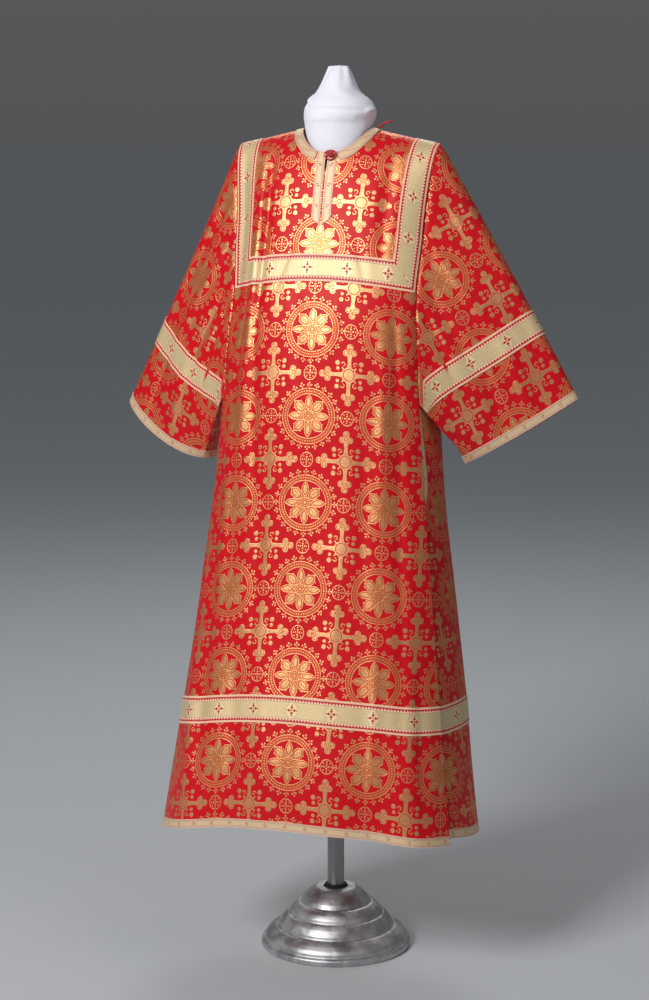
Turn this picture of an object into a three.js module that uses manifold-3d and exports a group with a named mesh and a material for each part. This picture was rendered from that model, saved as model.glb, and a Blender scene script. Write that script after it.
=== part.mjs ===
// A sticharion hung on a limbless dress form with a turned foot, in millimetres.
// Origin: under the middle of the foot, on the floor. +Z is up, the garment faces -Y and
// the wearer's left is +X. Every cloth piece is a closed wall laid out on named surfaces.
import * as THREE from 'three';
import { mergeVertices } from 'three/addons/utils/BufferGeometryUtils.js';
import Module from 'manifold-3d';

const wasm = await Module();
wasm.setup();

// ---- driving dimensions -------------------------------------------------------------
const CLOTH = 2;                 // wall of the brocade
const BRAID = 1;                 // wall of a galloon
const SEAM = 0.35;               // gap between pieces that touch
const WIDE = 54;                 // width of the wide galloon
const NARROW = 18;               // width of the narrow galloon

const HEM = 328;                 // height of the hem at the centre front
const UNDERARM = 1180;           // level of the lower end of the armholes
const CHEST = 1500;              // above this level the cloth turns over the shoulders
const RIDGE = 1700;              // level that stands for the shoulder seam
const SHOULDER_GAP = 0.6;        // levels left free at the shoulder seam
const NECK_HALF = 71;            // half width of the neck opening
const NECK_FRONT = 63;           // depth of the neck opening before its middle
const NECK_BACK = 54;            // depth of the neck opening behind its middle
const NECK_MIDDLE = 12;          // middle of the neck opening along Y
const SHOULDER_HALF = 214;       // from the centre to the top of the armhole
const SHOULDER_HEIGHT = 1704;    // height of the shoulder seam at the neck
const SHOULDER_SLOPE = 0.22;     // fall of the shoulder seam for each mm outwards
const SLIT_BOTTOM = 1517;        // level of the lower end of the neck slit
const SLIT_WIDTH = 3.4;

const YOKE_BOTTOM = 1405;        // lower edge of the yoke galloon at the centre front
const SKIRT_BAND_BOTTOM = 538;   // lower edge of the wide galloon round the skirt
const CUFF_TO_BAND = 145;        // from the cuff edge to the galloon round the sleeve
const SIDE_SLIT_BOTTOM = 985;    // lower end of the side slits

const FOOT_RADIUS = 157;
const POLE_RADIUS = 17.5;
const FORM_BOTTOM = 850;         // underside of the dress form

const FRONT_ROUNDNESS = 2.4;     // exponent of the front half of each level
const BACK_ROUNDNESS = 2.2;      // exponent of the back half
const BACK_ARMHOLE = 65;         // armhole edge of the back, degrees from the centre back
const BACK_WRAP = 118;           // side edge of the back, degrees from the centre back

// The levels of the body. middle is the Y of the widest point, half the half width,
// front and back the depths from there, edge the half width of the front panel, and the
// last three how far the thread line hangs down at the sides and round the back.
const LEVELS = [
  { z: 260, middle: -95, half: 338, front: 214, back: 180, edge: 318, right: 52, left: 30, rear: 33 },
  { z: 328, middle: -90, half: 329, front: 210, back: 176, edge: 309, right: 48, left: 28, rear: 32 },
  { z: 440, middle: -79, half: 312, front: 208, back: 174, edge: 293, right: 45, left: 23, rear: 27 },
  { z: 570, middle: -67, half: 294, front: 192, back: 167, edge: 276, right: 42, left: 20, rear: 23 },
  { z: 696, middle: -60, half: 277, front: 171, back: 157, edge: 260, right: 37, left: 19, rear: 20 },
  { z: 820, middle: -56, half: 262, front: 152, back: 149, edge: 246, right: 32, left: 19, rear: 20 },
  { z: 948, middle: -48, half: 246, front: 140, back: 140, edge: 231, right: 27, left: 19, rear: 20 },
  { z: 1030, middle: -42, half: 238, front: 135, back: 135, edge: 223, right: 24, left: 20, rear: 20 },
  { z: 1130, middle: -38, half: 231, front: 128, back: 130, edge: 214, right: 21, left: 20, rear: 20 },
  { z: 1300, middle: -26, half: 223, front: 117, back: 121, edge: 202, right: 22, left: 22, rear: 20 },
  { z: 1400, middle: -16, half: 219, front: 106, back: 114, edge: 196, right: 22, left: 22, rear: 20 },
  { z: 1500, middle: 0, half: 216, front: 97, back: 104, edge: 200, right: 16, left: 16, rear: 16 },
];

// Soft flutes and troughs of the body: angle from the centre front, half spread, the
// height where it starts, the height where it is fully there, and its rise (+) or depth.
const FOLDS = [
  { at: 47, spread: 11, start: 1050, full: 330, rise: 13 },
  { at: 27, spread: 9, start: 760, full: 300, rise: -9 },
  { at: -20, spread: 10, start: 700, full: 320, rise: -6 },
  { at: -44, spread: 12, start: 900, full: 330, rise: 8 },
  { at: -53, spread: 7, start: 1140, full: 1330, rise: -9 },
  { at: 92, spread: 12, start: 1000, full: 330, rise: 3 },
  { at: -90, spread: 13, start: 960, full: 330, rise: 4 },
  { at: 122, spread: 12, start: 1100, full: 340, rise: -13 },
  { at: 148, spread: 11, start: 1180, full: 320, rise: 14 },
  { at: 171, spread: 9, start: 900, full: 340, rise: -10 },
  { at: 196, spread: 12, start: 1250, full: 330, rise: 13 },
  { at: 222, spread: 10, start: 1000, full: 340, rise: -11 },
  { at: 242, spread: 10, start: 880, full: 330, rise: 9 },
];

// Each sleeve: its cuff's outer and inner corner, the half depth of the open cuff, how far
// the outer fold swells, and how far the cuff's middle drops below the line of its corners.
const SLEEVES = {
  left: { side: 1, outer: [499, 30, 1174], inner: [275, 8, 1037], open: 30, swell: 2, dip: 6 },
  right: { side: -1, outer: [-472, 30, 1136], inner: [-272, 2, 1026], open: 44, swell: -3, dip: 24 },
};

const GOLD_BRAID = { color: 0xd9c08a, roughness: 0.55, metalness: 0.25 };
const RED_BROCADE = { color: 0xc81d24, roughness: 0.5, metalness: 0.1 };
const RED_CORD = { color: 0xb3121d, roughness: 0.6, metalness: 0 };
const WHITE_CLOTH = { color: 0xe9e8f2, roughness: 0.9, metalness: 0 };
const LINEN = { color: 0xcfc7b8, roughness: 0.85, metalness: 0 };
const STEEL = { color: 0xb9bcc0, roughness: 0.3, metalness: 1 };
const CAST_METAL = { color: 0x9a9da1, roughness: 0.4, metalness: 1 };
const BLACK_RUBBER = { color: 0x1c1c1e, roughness: 0.8, metalness: 0 };

const sticharion = new THREE.Group();

// ---- small maths ----------------------------------------------------------------------
const radians = THREE.MathUtils.degToRad;
const lerp = THREE.MathUtils.lerp;
const smooth = THREE.MathUtils.smoothstep;
const power = (value, exponent) => Math.sign(value) * Math.abs(value) ** exponent;

// Every column of LEVELS at a height, as smooth curves through the rows.
function levelAt(z) {
  const last = LEVELS.length - 2;
  const found = LEVELS.findIndex((row, i) => i <= last && z < LEVELS[i + 1].z);
  const i = found < 0 ? last : found;
  const low = LEVELS[i];
  const high = LEVELS[i + 1];
  const before = LEVELS[Math.max(i - 1, 0)];
  const after = LEVELS[Math.min(i + 2, last + 1)];
  const span = high.z - low.z;
  const t = (z - low.z) / span;
  const level = {};
  for (const key of Object.keys(low)) {
    const slopeLow = (high[key] - before[key]) / (high.z - before.z);
    const slopeHigh = (after[key] - low[key]) / (after.z - low.z);
    level[key] = (2 * t ** 3 - 3 * t ** 2 + 1) * low[key] + (3 * t ** 2 - 2 * t ** 3) * high[key]
      + ((t ** 3 - 2 * t ** 2 + t) * slopeLow + (t ** 3 - t ** 2) * slopeHigh) * span;
  }
  return level;
}

// A point of the body at an angle from the centre front and a true height.
function ring(angle, z) {
  const level = levelAt(z);
  const sine = Math.sin(radians(angle));
  const cosine = Math.cos(radians(angle));
  const depth = cosine > 0 ? level.front : level.back;
  const n = cosine > 0 ? FRONT_ROUNDNESS : BACK_ROUNDNESS;
  const x = level.half * power(sine, 2 / n);
  const y = -depth * power(cosine, 2 / n);
  const outwards = new THREE.Vector2(power(x / level.half, n - 1) / level.half,
    power(y / depth, n - 1) / depth).normalize();
  let rise = 0;
  for (const fold of FOLDS) {
    const away = THREE.MathUtils.euclideanModulo(angle - fold.at + 180, 360) - 180;
    const reach = THREE.MathUtils.clamp((z - fold.start) / (fold.full - fold.start), 0, 1);
    rise += fold.rise * reach ** 1.3 * Math.exp(-((away / fold.spread) ** 2));
  }
  return new THREE.Vector3(x + outwards.x * rise, level.middle + y + outwards.y * rise, z);
}

// Y of the shoulder seam at a place across.
const ridgeLine = (x) => 14 + 6 * Math.abs(x) / SHOULDER_HALF;

// The shoulder ridge above a column, and the column's fall from there to the chest.
const CHEST_RISE = 85;           // how far a column climbs straight on above the chest
function shoulder(ridgeX, chest, t, run, drop, lean) {
  const beyond = Math.abs(ridgeX) - NECK_HALF;
  const top = SHOULDER_HEIGHT - SHOULDER_SLOPE * (beyond > 0 ? beyond : beyond * 0.5);
  const ridge = new THREE.Vector3(ridgeX, ridgeLine(ridgeX), top);
  const high = new THREE.Vector3(ridgeX, ridge.y + run, top - drop);
  const low = new THREE.Vector3(chest.x, chest.y + lean, chest.z + CHEST_RISE);
  return new THREE.CubicBezierCurve3(ridge, high, low, chest).getPoint(t);
}

// The front panel: f runs from -1 to 1 between its side edges, and k is the height of the
// thread line at the centre front, which turns over the shoulder between CHEST and RIDGE.
function front(f, k) {
  const level = levelAt(Math.min(k, CHEST));
  const x = f * level.edge;
  const z = Math.min(k, CHEST) - (f < 0 ? level.right : level.left) * f * f;
  const local = levelAt(z);
  const angle = Math.asin(Math.min(1, (Math.abs(x) / local.half) ** (FRONT_ROUNDNESS / 2)));
  const point = ring(Math.sign(f) * THREE.MathUtils.radToDeg(angle), z);
  if (k <= CHEST) return point;
  const t = (RIDGE - k) / (RIDGE - CHEST);
  const run = -lerp(72, 46, Math.abs(f));
  return shoulder(f * SHOULDER_HALF, point, t, run, 5, 20);
}

// The back panel: angle in degrees from the centre back, towards the wearer's left.
const LAP_START = 72;            // the back's side edges lie inside the front from here on
const BACK_FULL = Math.sin(radians(BACK_ARMHOLE)) ** (2 / BACK_ROUNDNESS);
function back(angle, k) {
  const level = levelAt(Math.min(k, CHEST));
  const away = Math.abs(angle);
  const lifted = 16 * smooth(away, 84, BACK_WRAP) * smooth(-k, -560, -HEM);
  const z = Math.min(k, CHEST) - level.rear + lifted;
  const lap = away > LAP_START ? lapDepth(k) * smooth(away, LAP_START, 98) : 0;
  const point = ring(180 - angle, z);
  const middle = levelAt(z).middle;
  const inwards = new THREE.Vector2(-point.x, middle - point.y).normalize().multiplyScalar(lap);
  point.x += inwards.x;
  point.y += inwards.y;
  if (k <= CHEST) return point;
  const t = (RIDGE - k) / (RIDGE - CHEST);
  const share = power(Math.sin(radians(angle)), 2 / BACK_ROUNDNESS);
  const run = lerp(64, 44, Math.abs(share));
  return shoulder(share / BACK_FULL * SHOULDER_HALF, point, t, run, 4, 8);
}

// How far the back's side edges lie inside the front's at a level.
function lapDepth(k) {
  return lerp(5, 9, smooth(-k, -700, -HEM));
}

// The level at which a column reaches the neck opening, or RIDGE beside it.
function neckLevel(column) {
  const inside = (k) => {
    const p = column(k);
    const depth = p.y < NECK_MIDDLE ? NECK_FRONT : NECK_BACK;
    return (p.x / NECK_HALF) ** 2 + ((p.y - NECK_MIDDLE) / depth) ** 2 < 1;
  };
  if (!inside(RIDGE)) return RIDGE - SHOULDER_GAP;
  let low = CHEST;
  let high = RIDGE;
  for (let i = 0; i < 24; i += 1) {
    const k = (low + high) / 2;
    if (inside(k)) high = k;
    else low = k;
  }
  return low;
}

// ---- closed walls on a surface --------------------------------------------------------
const unitNormal = (surface, a, b, stepA, stepB) => {
  const alongA = surface(a + stepA, b).sub(surface(a - stepA, b));
  const alongB = surface(a, b + stepB).sub(surface(a, b - stepB));
  return alongA.cross(alongB).normalize();
};

// A closed wall from two grids of points, the outer and the inner, with the cells that
// keep(row, column) refuses left open. Wrapped grids join their last column to the first.
function wall(outer, inner, keep = () => true, wrapped = false) {
  const rows = outer.length;
  const columns = outer[0].length;
  const cellsAcross = wrapped ? columns : columns - 1;
  const vertices = [...outer.flat(), ...inner.flat()];
  const half = rows * columns;
  const at = (i, j) => i * columns + (j % columns);
  const kept = (i, j) => {
    if (i < 0 || i >= rows - 1) return false;
    if (wrapped) return keep(i, (j + cellsAcross) % cellsAcross);
    return j >= 0 && j < cellsAcross && keep(i, j);
  };
  const faces = [];
  const quad = (a, b, c, d) => faces.push(a, b, c, a, c, d);
  const rim = (a, b) => quad(b, a, a + half, b + half);
  for (let i = 0; i < rows - 1; i += 1) {
    for (let j = 0; j < cellsAcross; j += 1) {
      if (!kept(i, j)) continue;
      const [a, b, c, d] = [at(i, j), at(i, j + 1), at(i + 1, j + 1), at(i + 1, j)];
      quad(a, b, c, d);
      faces.push(c + half, b + half, a + half, d + half, c + half, a + half);
      if (!kept(i - 1, j)) rim(a, b);
      if (!kept(i + 1, j)) rim(c, d);
      if (!kept(i, j - 1)) rim(d, a);
      if (!kept(i, j + 1)) rim(b, c);
    }
  }
  return mergeVertices(facingOut(indexed(vertices, faces)), 1e-4);
}

// A geometry from a list of points and a list of corners.
function indexed(vertices, faces) {
  const geometry = new THREE.BufferGeometry();
  geometry.setFromPoints(vertices);
  geometry.setIndex(faces);
  return geometry;
}

// The geometry with its faces turned outwards, judged by its signed volume.
function facingOut(geometry) {
  const position = geometry.getAttribute('position');
  const index = geometry.getIndex().array;
  let volume = 0;
  const corner = (n) => new THREE.Vector3().fromBufferAttribute(position, index[n]);
  for (let n = 0; n < index.length; n += 3) volume += corner(n).dot(corner(n + 1).cross(corner(n + 2)));
  if (volume > 0) return geometry;
  const turned = Array.from(index);
  for (let n = 0; n < turned.length; n += 3) [turned[n], turned[n + 1]] = [turned[n + 1], turned[n]];
  geometry.setIndex(turned);
  return geometry;
}

// A wall whose outer face is lift above the surface at the rows' and columns' places.
// place(row, column) gives the two surface numbers, sign the outward side of the normal.
function sheet(surface, rows, columns, place, lift, thickness, steps, sign, keep) {
  const outer = [];
  const inner = [];
  for (let i = 0; i < rows; i += 1) {
    outer.push([]);
    inner.push([]);
    for (let j = 0; j < columns; j += 1) {
      const [a, b] = place(i, j);
      const point = surface(a, b);
      const normal = unitNormal(surface, a, b, steps[0], steps[1]).multiplyScalar(sign);
      outer[i].push(point.clone().addScaledVector(normal, lift));
      inner[i].push(point.clone().addScaledVector(normal, lift - thickness));
    }
  }
  return wall(outer, inner, keep);
}

function add(name, geometry, look) {
  const mesh = new THREE.Mesh(geometry, new THREE.MeshStandardMaterial(look));
  mesh.name = name;
  sticharion.add(mesh);
}

const FRONT_STEPS = [0.004, 1];
const BACK_STEPS = [0.6, 1];
const onFront = (rows, columns, place, lift, thickness, keep) =>
  sheet(front, rows, columns, place, lift, thickness, FRONT_STEPS, 1, keep);
const onBack = (rows, columns, place, lift, thickness, keep) =>
  sheet(back, rows, columns, place, lift, thickness, BACK_STEPS, -1, keep);
const LAID_ON = SEAM + BRAID;    // top of a galloon above the cloth it is sewn to

// ---- body panels ------------------------------------------------------------------------
// Columns of the front panel as shares of its half width; the neck point is one of them.
const NECK_SHARE = NECK_HALF / SHOULDER_HALF;
const STRIP_SHARES = [0.765, 0.88, 0.985];
const FRONT_HALF_COLUMNS = [0.1, 0.2, 0.28, NECK_SHARE, 0.42, 0.54, 0.66, ...STRIP_SHARES, 1];
const FRONT_COLUMNS = [...FRONT_HALF_COLUMNS.map((f) => -f).reverse(), 0, ...FRONT_HALF_COLUMNS];
const SKIRT_BAND_TOP = SKIRT_BAND_BOTTOM + WIDE;
const YOKE_TOP = YOKE_BOTTOM + WIDE;
const SKIRT_LEVELS = [HEM, HEM + NARROW, 410, 474, SKIRT_BAND_BOTTOM, SKIRT_BAND_TOP,
  670, 750, 830, 910, 985, 1050, 1115];
const ARMHOLE_LEVELS = [UNDERARM, 1240, 1300, 1355, YOKE_BOTTOM, YOKE_TOP, CHEST];
const SHOULDER_ROWS = 5;

// Level of each row: the skirt and armhole levels, then even steps up to the column's top.
const FIXED_LEVELS = [...SKIRT_LEVELS, ...ARMHOLE_LEVELS];
function rowLevel(row, top) {
  if (row < FIXED_LEVELS.length) return FIXED_LEVELS[row];
  const share = (row - FIXED_LEVELS.length + 1) / SHOULDER_ROWS;
  return lerp(CHEST, top, 1 - (1 - share) ** 1.25);
}
const BODY_ROWS = FIXED_LEVELS.length + SHOULDER_ROWS;
const rowOf = (level) => FIXED_LEVELS.indexOf(level);

// A closed mesh as a solid for cutting, and back.
function solid(geometry) {
  const bare = new THREE.BufferGeometry();
  bare.setAttribute('position', geometry.getAttribute('position').clone());
  if (geometry.getIndex()) bare.setIndex(geometry.getIndex());
  const merged = mergeVertices(bare, 1e-4);
  return new wasm.Manifold(new wasm.Mesh({
    numProp: 3,
    vertProperties: new Float32Array(merged.getAttribute('position').array),
    triVerts: new Uint32Array(merged.getIndex().array),
  }));
}

function cut(geometry, cutter) {
  const mesh = solid(geometry).subtract(solid(cutter)).getMesh();
  const result = new THREE.BufferGeometry();
  result.setAttribute('position', new THREE.Float32BufferAttribute(mesh.vertProperties, 3));
  result.setIndex(Array.from(mesh.triVerts));
  return result;
}

// The open neck slit: a narrow lens, widest above its middle, pushed through the front.
function slitCutter() {
  const top = 1680;
  const bottom = front(0, SLIT_BOTTOM).z;
  const lens = new THREE.Shape();
  lens.moveTo(0, bottom);
  lens.quadraticCurveTo(SLIT_WIDTH * 0.75, (bottom + top) / 2, 1, top);
  lens.lineTo(-1, top);
  lens.quadraticCurveTo(-SLIT_WIDTH * 0.75, (bottom + top) / 2, 0, bottom);
  const prism = new THREE.ExtrudeGeometry(lens, { depth: 160, bevelEnabled: false, curveSegments: 6 });
  prism.rotateX(Math.PI / 2);
  return prism;
}

const FRONT_TOPS = FRONT_COLUMNS.map((f) => neckLevel((k) => front(f, k)));
const frontPlace = (i, j) => [FRONT_COLUMNS[j], rowLevel(i, FRONT_TOPS[j])];

function frontPanel() {
  return cut(onFront(BODY_ROWS, FRONT_COLUMNS.length, frontPlace, 0, CLOTH), slitCutter());
}

// Columns of the back in degrees from the centre back; the wings past the armhole edge
// only reach up to the underarm level.
const NECK_ANGLE = 18.5;
const STRIP_ANGLES = [43.5, 53.5, 63.6];
const WING_ANGLES = [BACK_ARMHOLE, 74, 84, 94, 104, 113, BACK_WRAP];
const BACK_HALF_COLUMNS = [8, NECK_ANGLE, 26, 35, ...STRIP_ANGLES, ...WING_ANGLES];
const BACK_COLUMNS = [...BACK_HALF_COLUMNS.map((a) => -a).reverse(), 0, ...BACK_HALF_COLUMNS];

const backTop = (a) => (Math.abs(a) > BACK_ARMHOLE ? RIDGE : neckLevel((k) => back(a, k)));
const BACK_TOPS = BACK_COLUMNS.map(backTop);
const backPlace = (i, j) => [BACK_COLUMNS[j], rowLevel(i, BACK_TOPS[j])];

function backPanel() {
  const keep = (i, j) => {
    const beside = Math.max(Math.abs(BACK_COLUMNS[j]), Math.abs(BACK_COLUMNS[j + 1]));
    return beside <= BACK_ARMHOLE || i < SKIRT_LEVELS.length;
  };
  return onBack(BODY_ROWS, BACK_COLUMNS.length, backPlace, 0, CLOTH, keep);
}

// ---- sleeves ----------------------------------------------------------------------------
// The armhole line of one side: down the front edge, across the underarm, up the back edge,
// with share 0 at the shoulder seam, 0.5 at the underarm and 1 at the seam again.
const UNDERARM_EASE = 2.8;       // how far the sleeve's underarm stands off the side seam
function armhole(side, share) {
  const down = 0.42;
  const level = (s) => lerp(RIDGE - SEAM, UNDERARM + SEAM, s);
  if (share < down) return front(side, level(share / down));
  if (share > 1 - down) return back(side * BACK_ARMHOLE, level((1 - share) / down));
  const frontEnd = front(side, UNDERARM);
  const backEnd = back(side * BACK_ARMHOLE, UNDERARM);
  const t = (share - down) / (1 - 2 * down);
  const turn = (point) => Math.atan2(Math.abs(point.x), levelAt(point.z).middle - point.y);
  const angle = THREE.MathUtils.radToDeg(lerp(turn(frontEnd), turn(backEnd), t));
  const under = ring(side * angle, frontEnd.z);
  const outwards = new THREE.Vector3(under.x, under.y - levelAt(under.z).middle, 0).normalize();
  return under.addScaledVector(outwards, UNDERARM_EASE * Math.sin(Math.PI * t) ** 0.5).setZ(under.z + SEAM);
}

// The cuff line: a flat oval between its outer and inner corner.
function cuffLine(sleeve, share) {
  const outer = new THREE.Vector3(...sleeve.outer);
  const inner = new THREE.Vector3(...sleeve.inner);
  const turn = 2 * Math.PI * share;
  const across = (1 + power(Math.cos(turn), 0.9)) / 2;
  const point = inner.clone().lerp(outer, across);
  point.y -= sleeve.open * power(Math.sin(turn), 0.8);
  point.z -= sleeve.dip * Math.sin(turn) ** 2;
  return point;
}

// A sleeve's surface: share runs round it, t from the armhole to the cuff.
function sleevePoint(sleeve, share, t) {
  const root = armhole(sleeve.side, share);
  root.x += sleeve.side * 2 * SEAM;
  const point = root.lerp(cuffLine(sleeve, share), t);
  const outerness = Math.max(0, Math.cos(2 * Math.PI * share)) ** 2;
  const belly = Math.sin(Math.PI * t) ** 1.2;
  point.x += sleeve.side * sleeve.swell * belly * outerness;
  point.z += sleeve.swell * 0.4 * belly * outerness;
  point.y -= 10 * belly * Math.sin(2 * Math.PI * share);
  return point;
}

// The inward direction across the wall, kept in the plane of the ring near the armhole.
function sleeveInwards(sleeve, share, t) {
  const step = 0.012;
  const along = sleevePoint(sleeve, share + step, t).sub(sleevePoint(sleeve, share - step, t));
  const axis = new THREE.Vector3(sleeve.side, 0, 0);
  const cuffAxis = new THREE.Vector3(...sleeve.outer).sub(new THREE.Vector3(...sleeve.inner));
  cuffAxis.cross(new THREE.Vector3(0, -sleeve.side, 0)).normalize();
  axis.lerp(cuffAxis, t + (1 - t) * Math.sin(Math.PI * share) ** 2).normalize();
  return along.cross(axis).normalize().multiplyScalar(-1);
}

// The place along a sleeve that lies a distance above the cuff.
function aboveCuff(sleeve, share, distance) {
  const length = sleevePoint(sleeve, share, 0).distanceTo(sleevePoint(sleeve, share, 1));
  return Math.max(0.08, 1 - distance / length);
}

// The rows of a sleeve: from the armhole to the band, the band, and on to the cuff.
const BAND_ROW = 5;
const CUFF_ROW = 8;
function sleeveRow(sleeve, share, row) {
  const bandTop = aboveCuff(sleeve, share, CUFF_TO_BAND + WIDE);
  const bandBottom = aboveCuff(sleeve, share, CUFF_TO_BAND) + 0.02;
  const cuffTop = aboveCuff(sleeve, share, NARROW);
  if (row <= BAND_ROW) return bandTop * row / BAND_ROW;
  if (row < CUFF_ROW) return lerp(bandBottom, cuffTop, (row - BAND_ROW - 1) / (CUFF_ROW - BAND_ROW - 1));
  return row === CUFF_ROW ? cuffTop : 1;
}

// A closed tube wall on a sleeve between two of its rows.
const SLEEVE_COLUMNS = 24;
function sleeveWall(sleeve, firstRow, lastRow, lift, thickness) {
  const outer = [];
  const inner = [];
  for (let row = firstRow; row <= lastRow; row += 1) {
    const outerRing = [];
    const innerRing = [];
    for (let j = 0; j < SLEEVE_COLUMNS; j += 1) {
      const share = j / SLEEVE_COLUMNS;
      const t = sleeveRow(sleeve, share, row);
      const inwards = sleeveInwards(sleeve, share, t).multiplyScalar(sleeve.side);
      const point = sleevePoint(sleeve, share, t);
      outerRing.push(point.clone().addScaledVector(inwards, -lift));
      innerRing.push(point.clone().addScaledVector(inwards, thickness - lift));
    }
    outer.push(outerRing);
    inner.push(innerRing);
  }
  return wall(outer, inner, undefined, true);
}

const sleeveTube = (sleeve) => sleeveWall(sleeve, 0, CUFF_ROW + 1, 0, CLOTH);
const sleeveBand = (sleeve) => sleeveWall(sleeve, BAND_ROW, BAND_ROW + 1, LAID_ON + 0.2, BRAID);
const cuffGalloon = (sleeve) => sleeveWall(sleeve, CUFF_ROW, CUFF_ROW + 1, LAID_ON, BRAID);

// ---- galloons on the body ---------------------------------------------------------------
// The yoke frames: two strips down from the shoulders and a band across, on the panels'
// own rows and columns.
function frame(columns, outer, inner, place, lay) {
  const first = rowOf(YOKE_BOTTOM);
  const used = columns.filter((column) => Math.abs(column) <= outer);
  const skipped = (columns.length - used.length) / 2;
  const keep = (i, j) => i === 0 || Math.min(Math.abs(used[j]), Math.abs(used[j + 1])) >= inner;
  const placed = (i, j) => place(i + first, j + skipped);
  return lay(BODY_ROWS - first, used.length, placed, LAID_ON, BRAID, keep);
}

const yokeFront = () => frame(FRONT_COLUMNS, STRIP_SHARES[2], STRIP_SHARES[0], frontPlace, onFront);
const yokeBack = () => frame(BACK_COLUMNS, STRIP_ANGLES[2], STRIP_ANGLES[0], backPlace, onBack);

// A band across the front or the back between two of the panel's rows.
const frontBand = (bottom) =>
  onFront(2, FRONT_COLUMNS.length, (i, j) => frontPlace(i + rowOf(bottom), j), LAID_ON, BRAID);
function backBand(bottom, short) {
  const placed = (i, j) => backPlace(i + rowOf(bottom), j + short);
  return onBack(2, BACK_COLUMNS.length - 2 * short, placed, LAID_ON, BRAID);
}

// A galloon strip beside the neck slit, mitred to a point at its lower end.
function placket(side) {
  const share = (j) => side * (j === 0 ? 0.012 : FRONT_HALF_COLUMNS[0]);
  const tops = [0, 1].map((j) => neckLevel((k) => front(share(j), k)));
  const tip = (j) => SLIT_BOTTOM - 6 + j * NARROW * 0.6;
  const place = (i, j) => [share(j), i ? rowLevel(FIXED_LEVELS.length - 1 + i, tops[j]) : tip(j)];
  return onFront(SHOULDER_ROWS + 1, 2, place, LAID_ON + 0.2, BRAID);
}

// The height of the shoulders at a place in plan, on the front or the back panel.
function shoulderPoint(x, y) {
  const forward = y < ridgeLine(x);
  const surface = forward ? front : back;
  let low = CHEST;
  let high = RIDGE;
  let point;
  for (let i = 0; i < 22; i += 1) {
    const k = (low + high) / 2;
    const across = forward ? acrossFront(x, k) : acrossBack(x, k);
    point = surface(across, k);
    if (forward ? point.y < y : point.y > y) low = k;
    else high = k;
  }
  return point;
}
// The column that passes a sideways distance x at a level above the chest.
function acrossFront(x, k) {
  let share = x / SHOULDER_HALF;
  for (let i = 0; i < 4; i += 1) share += (x - front(share, k).x) / SHOULDER_HALF;
  return share;
}
function acrossBack(x, k) {
  const degrees = (share) => {
    const sine = Math.min(1, (Math.abs(share) * BACK_FULL) ** (BACK_ROUNDNESS / 2));
    return Math.sign(share) * THREE.MathUtils.radToDeg(Math.asin(sine));
  };
  let share = x / SHOULDER_HALF;
  for (let i = 0; i < 4; i += 1) share += (x - back(degrees(share), k).x) / SHOULDER_HALF;
  return degrees(share);
}

// The galloon round the neck opening, from one placket round the back to the other. In plan
// it is narrower in front, where the cloth falls steeply.
function neckGalloon() {
  const around = 34;
  const openHalf = 17.8;           // half of the gap between the plackets, in degrees
  const plan = (turn, out) => {
    const steep = 1 - 0.58 * Math.max(0, Math.cos(turn)) ** 1.5;
    const wide = NECK_HALF + 0.6 + out * 0.94;
    const deep = (Math.cos(turn) > 0 ? NECK_FRONT : NECK_BACK) + 0.6 + out * steep;
    return shoulderPoint(wide * Math.sin(turn), NECK_MIDDLE - deep * Math.cos(turn));
  };
  const place = (i, j) => [
    radians(lerp(openHalf, 360 - openHalf, j / around)), i * NARROW / 2,
  ];
  const steps = [0.05, 1];
  return sheet(plan, 3, around + 1, place, LAID_ON + 0.4, BRAID, steps, -1);
}

// The galloon that faces the back's edge in a side slit, bowed out below the sleeve.
function slitGalloon(side) {
  const rows = 9;
  const perDegree = 4.1;           // width of one degree of the back near its edge
  const place = (i, j) => {
    const t = i / (rows - 1);
    const k = lerp(SIDE_SLIT_BOTTOM, UNDERARM - 6, t);
    const shown = 2 + 19 * Math.sin(Math.PI * t ** 0.5) ** 1.2;
    const outer = BACK_WRAP - 4.6 - shown / perDegree;
    return [side * (j === 0 ? outer : Math.min(BACK_WRAP - 0.4, outer + NARROW / perDegree)), k];
  };
  return onBack(rows, 2, place, LAID_ON + 0.2, BRAID);
}

// ---- button and cord loops --------------------------------------------------------------
// A place beside the slit, dz below the neck edge, raised above the galloon there.
function aboveSlit(x, dz, raised) {
  const share = x / levelAt(CHEST).edge;
  const top = neckLevel((k) => front(share, k));
  const edge = front(0, neckLevel((k) => front(0, k))).z;
  let low = CHEST;
  let high = top;
  for (let i = 0; i < 20; i += 1) {
    const k = (low + high) / 2;
    if (front(share, k).z < edge - dz) low = k;
    else high = k;
  }
  const normal = unitNormal(front, share, low, ...FRONT_STEPS);
  return front(share, low).addScaledVector(normal, LAID_ON + raised);
}

const BUTTON_RADIUS = 6.5;

function button() {
  const ball = new THREE.SphereGeometry(BUTTON_RADIUS, 14, 10);
  ball.scale(1.1, 0.75, 1);
  const middle = aboveSlit(8, 8, BUTTON_RADIUS * 0.85 + SEAM);
  ball.translate(middle.x, middle.y, middle.z);
  return ball;
}

const CORD_RADIUS = 1.5;

function cordLoop(points) {
  const curve = new THREE.CatmullRomCurve3(points);
  const round = new THREE.Shape();
  round.absarc(0, 0, CORD_RADIUS, 0, Math.PI * 2, false);
  const options = { steps: 24, curveSegments: 4, bevelEnabled: false, extrudePath: curve };
  return new THREE.ExtrudeGeometry(round, options);
}

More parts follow.
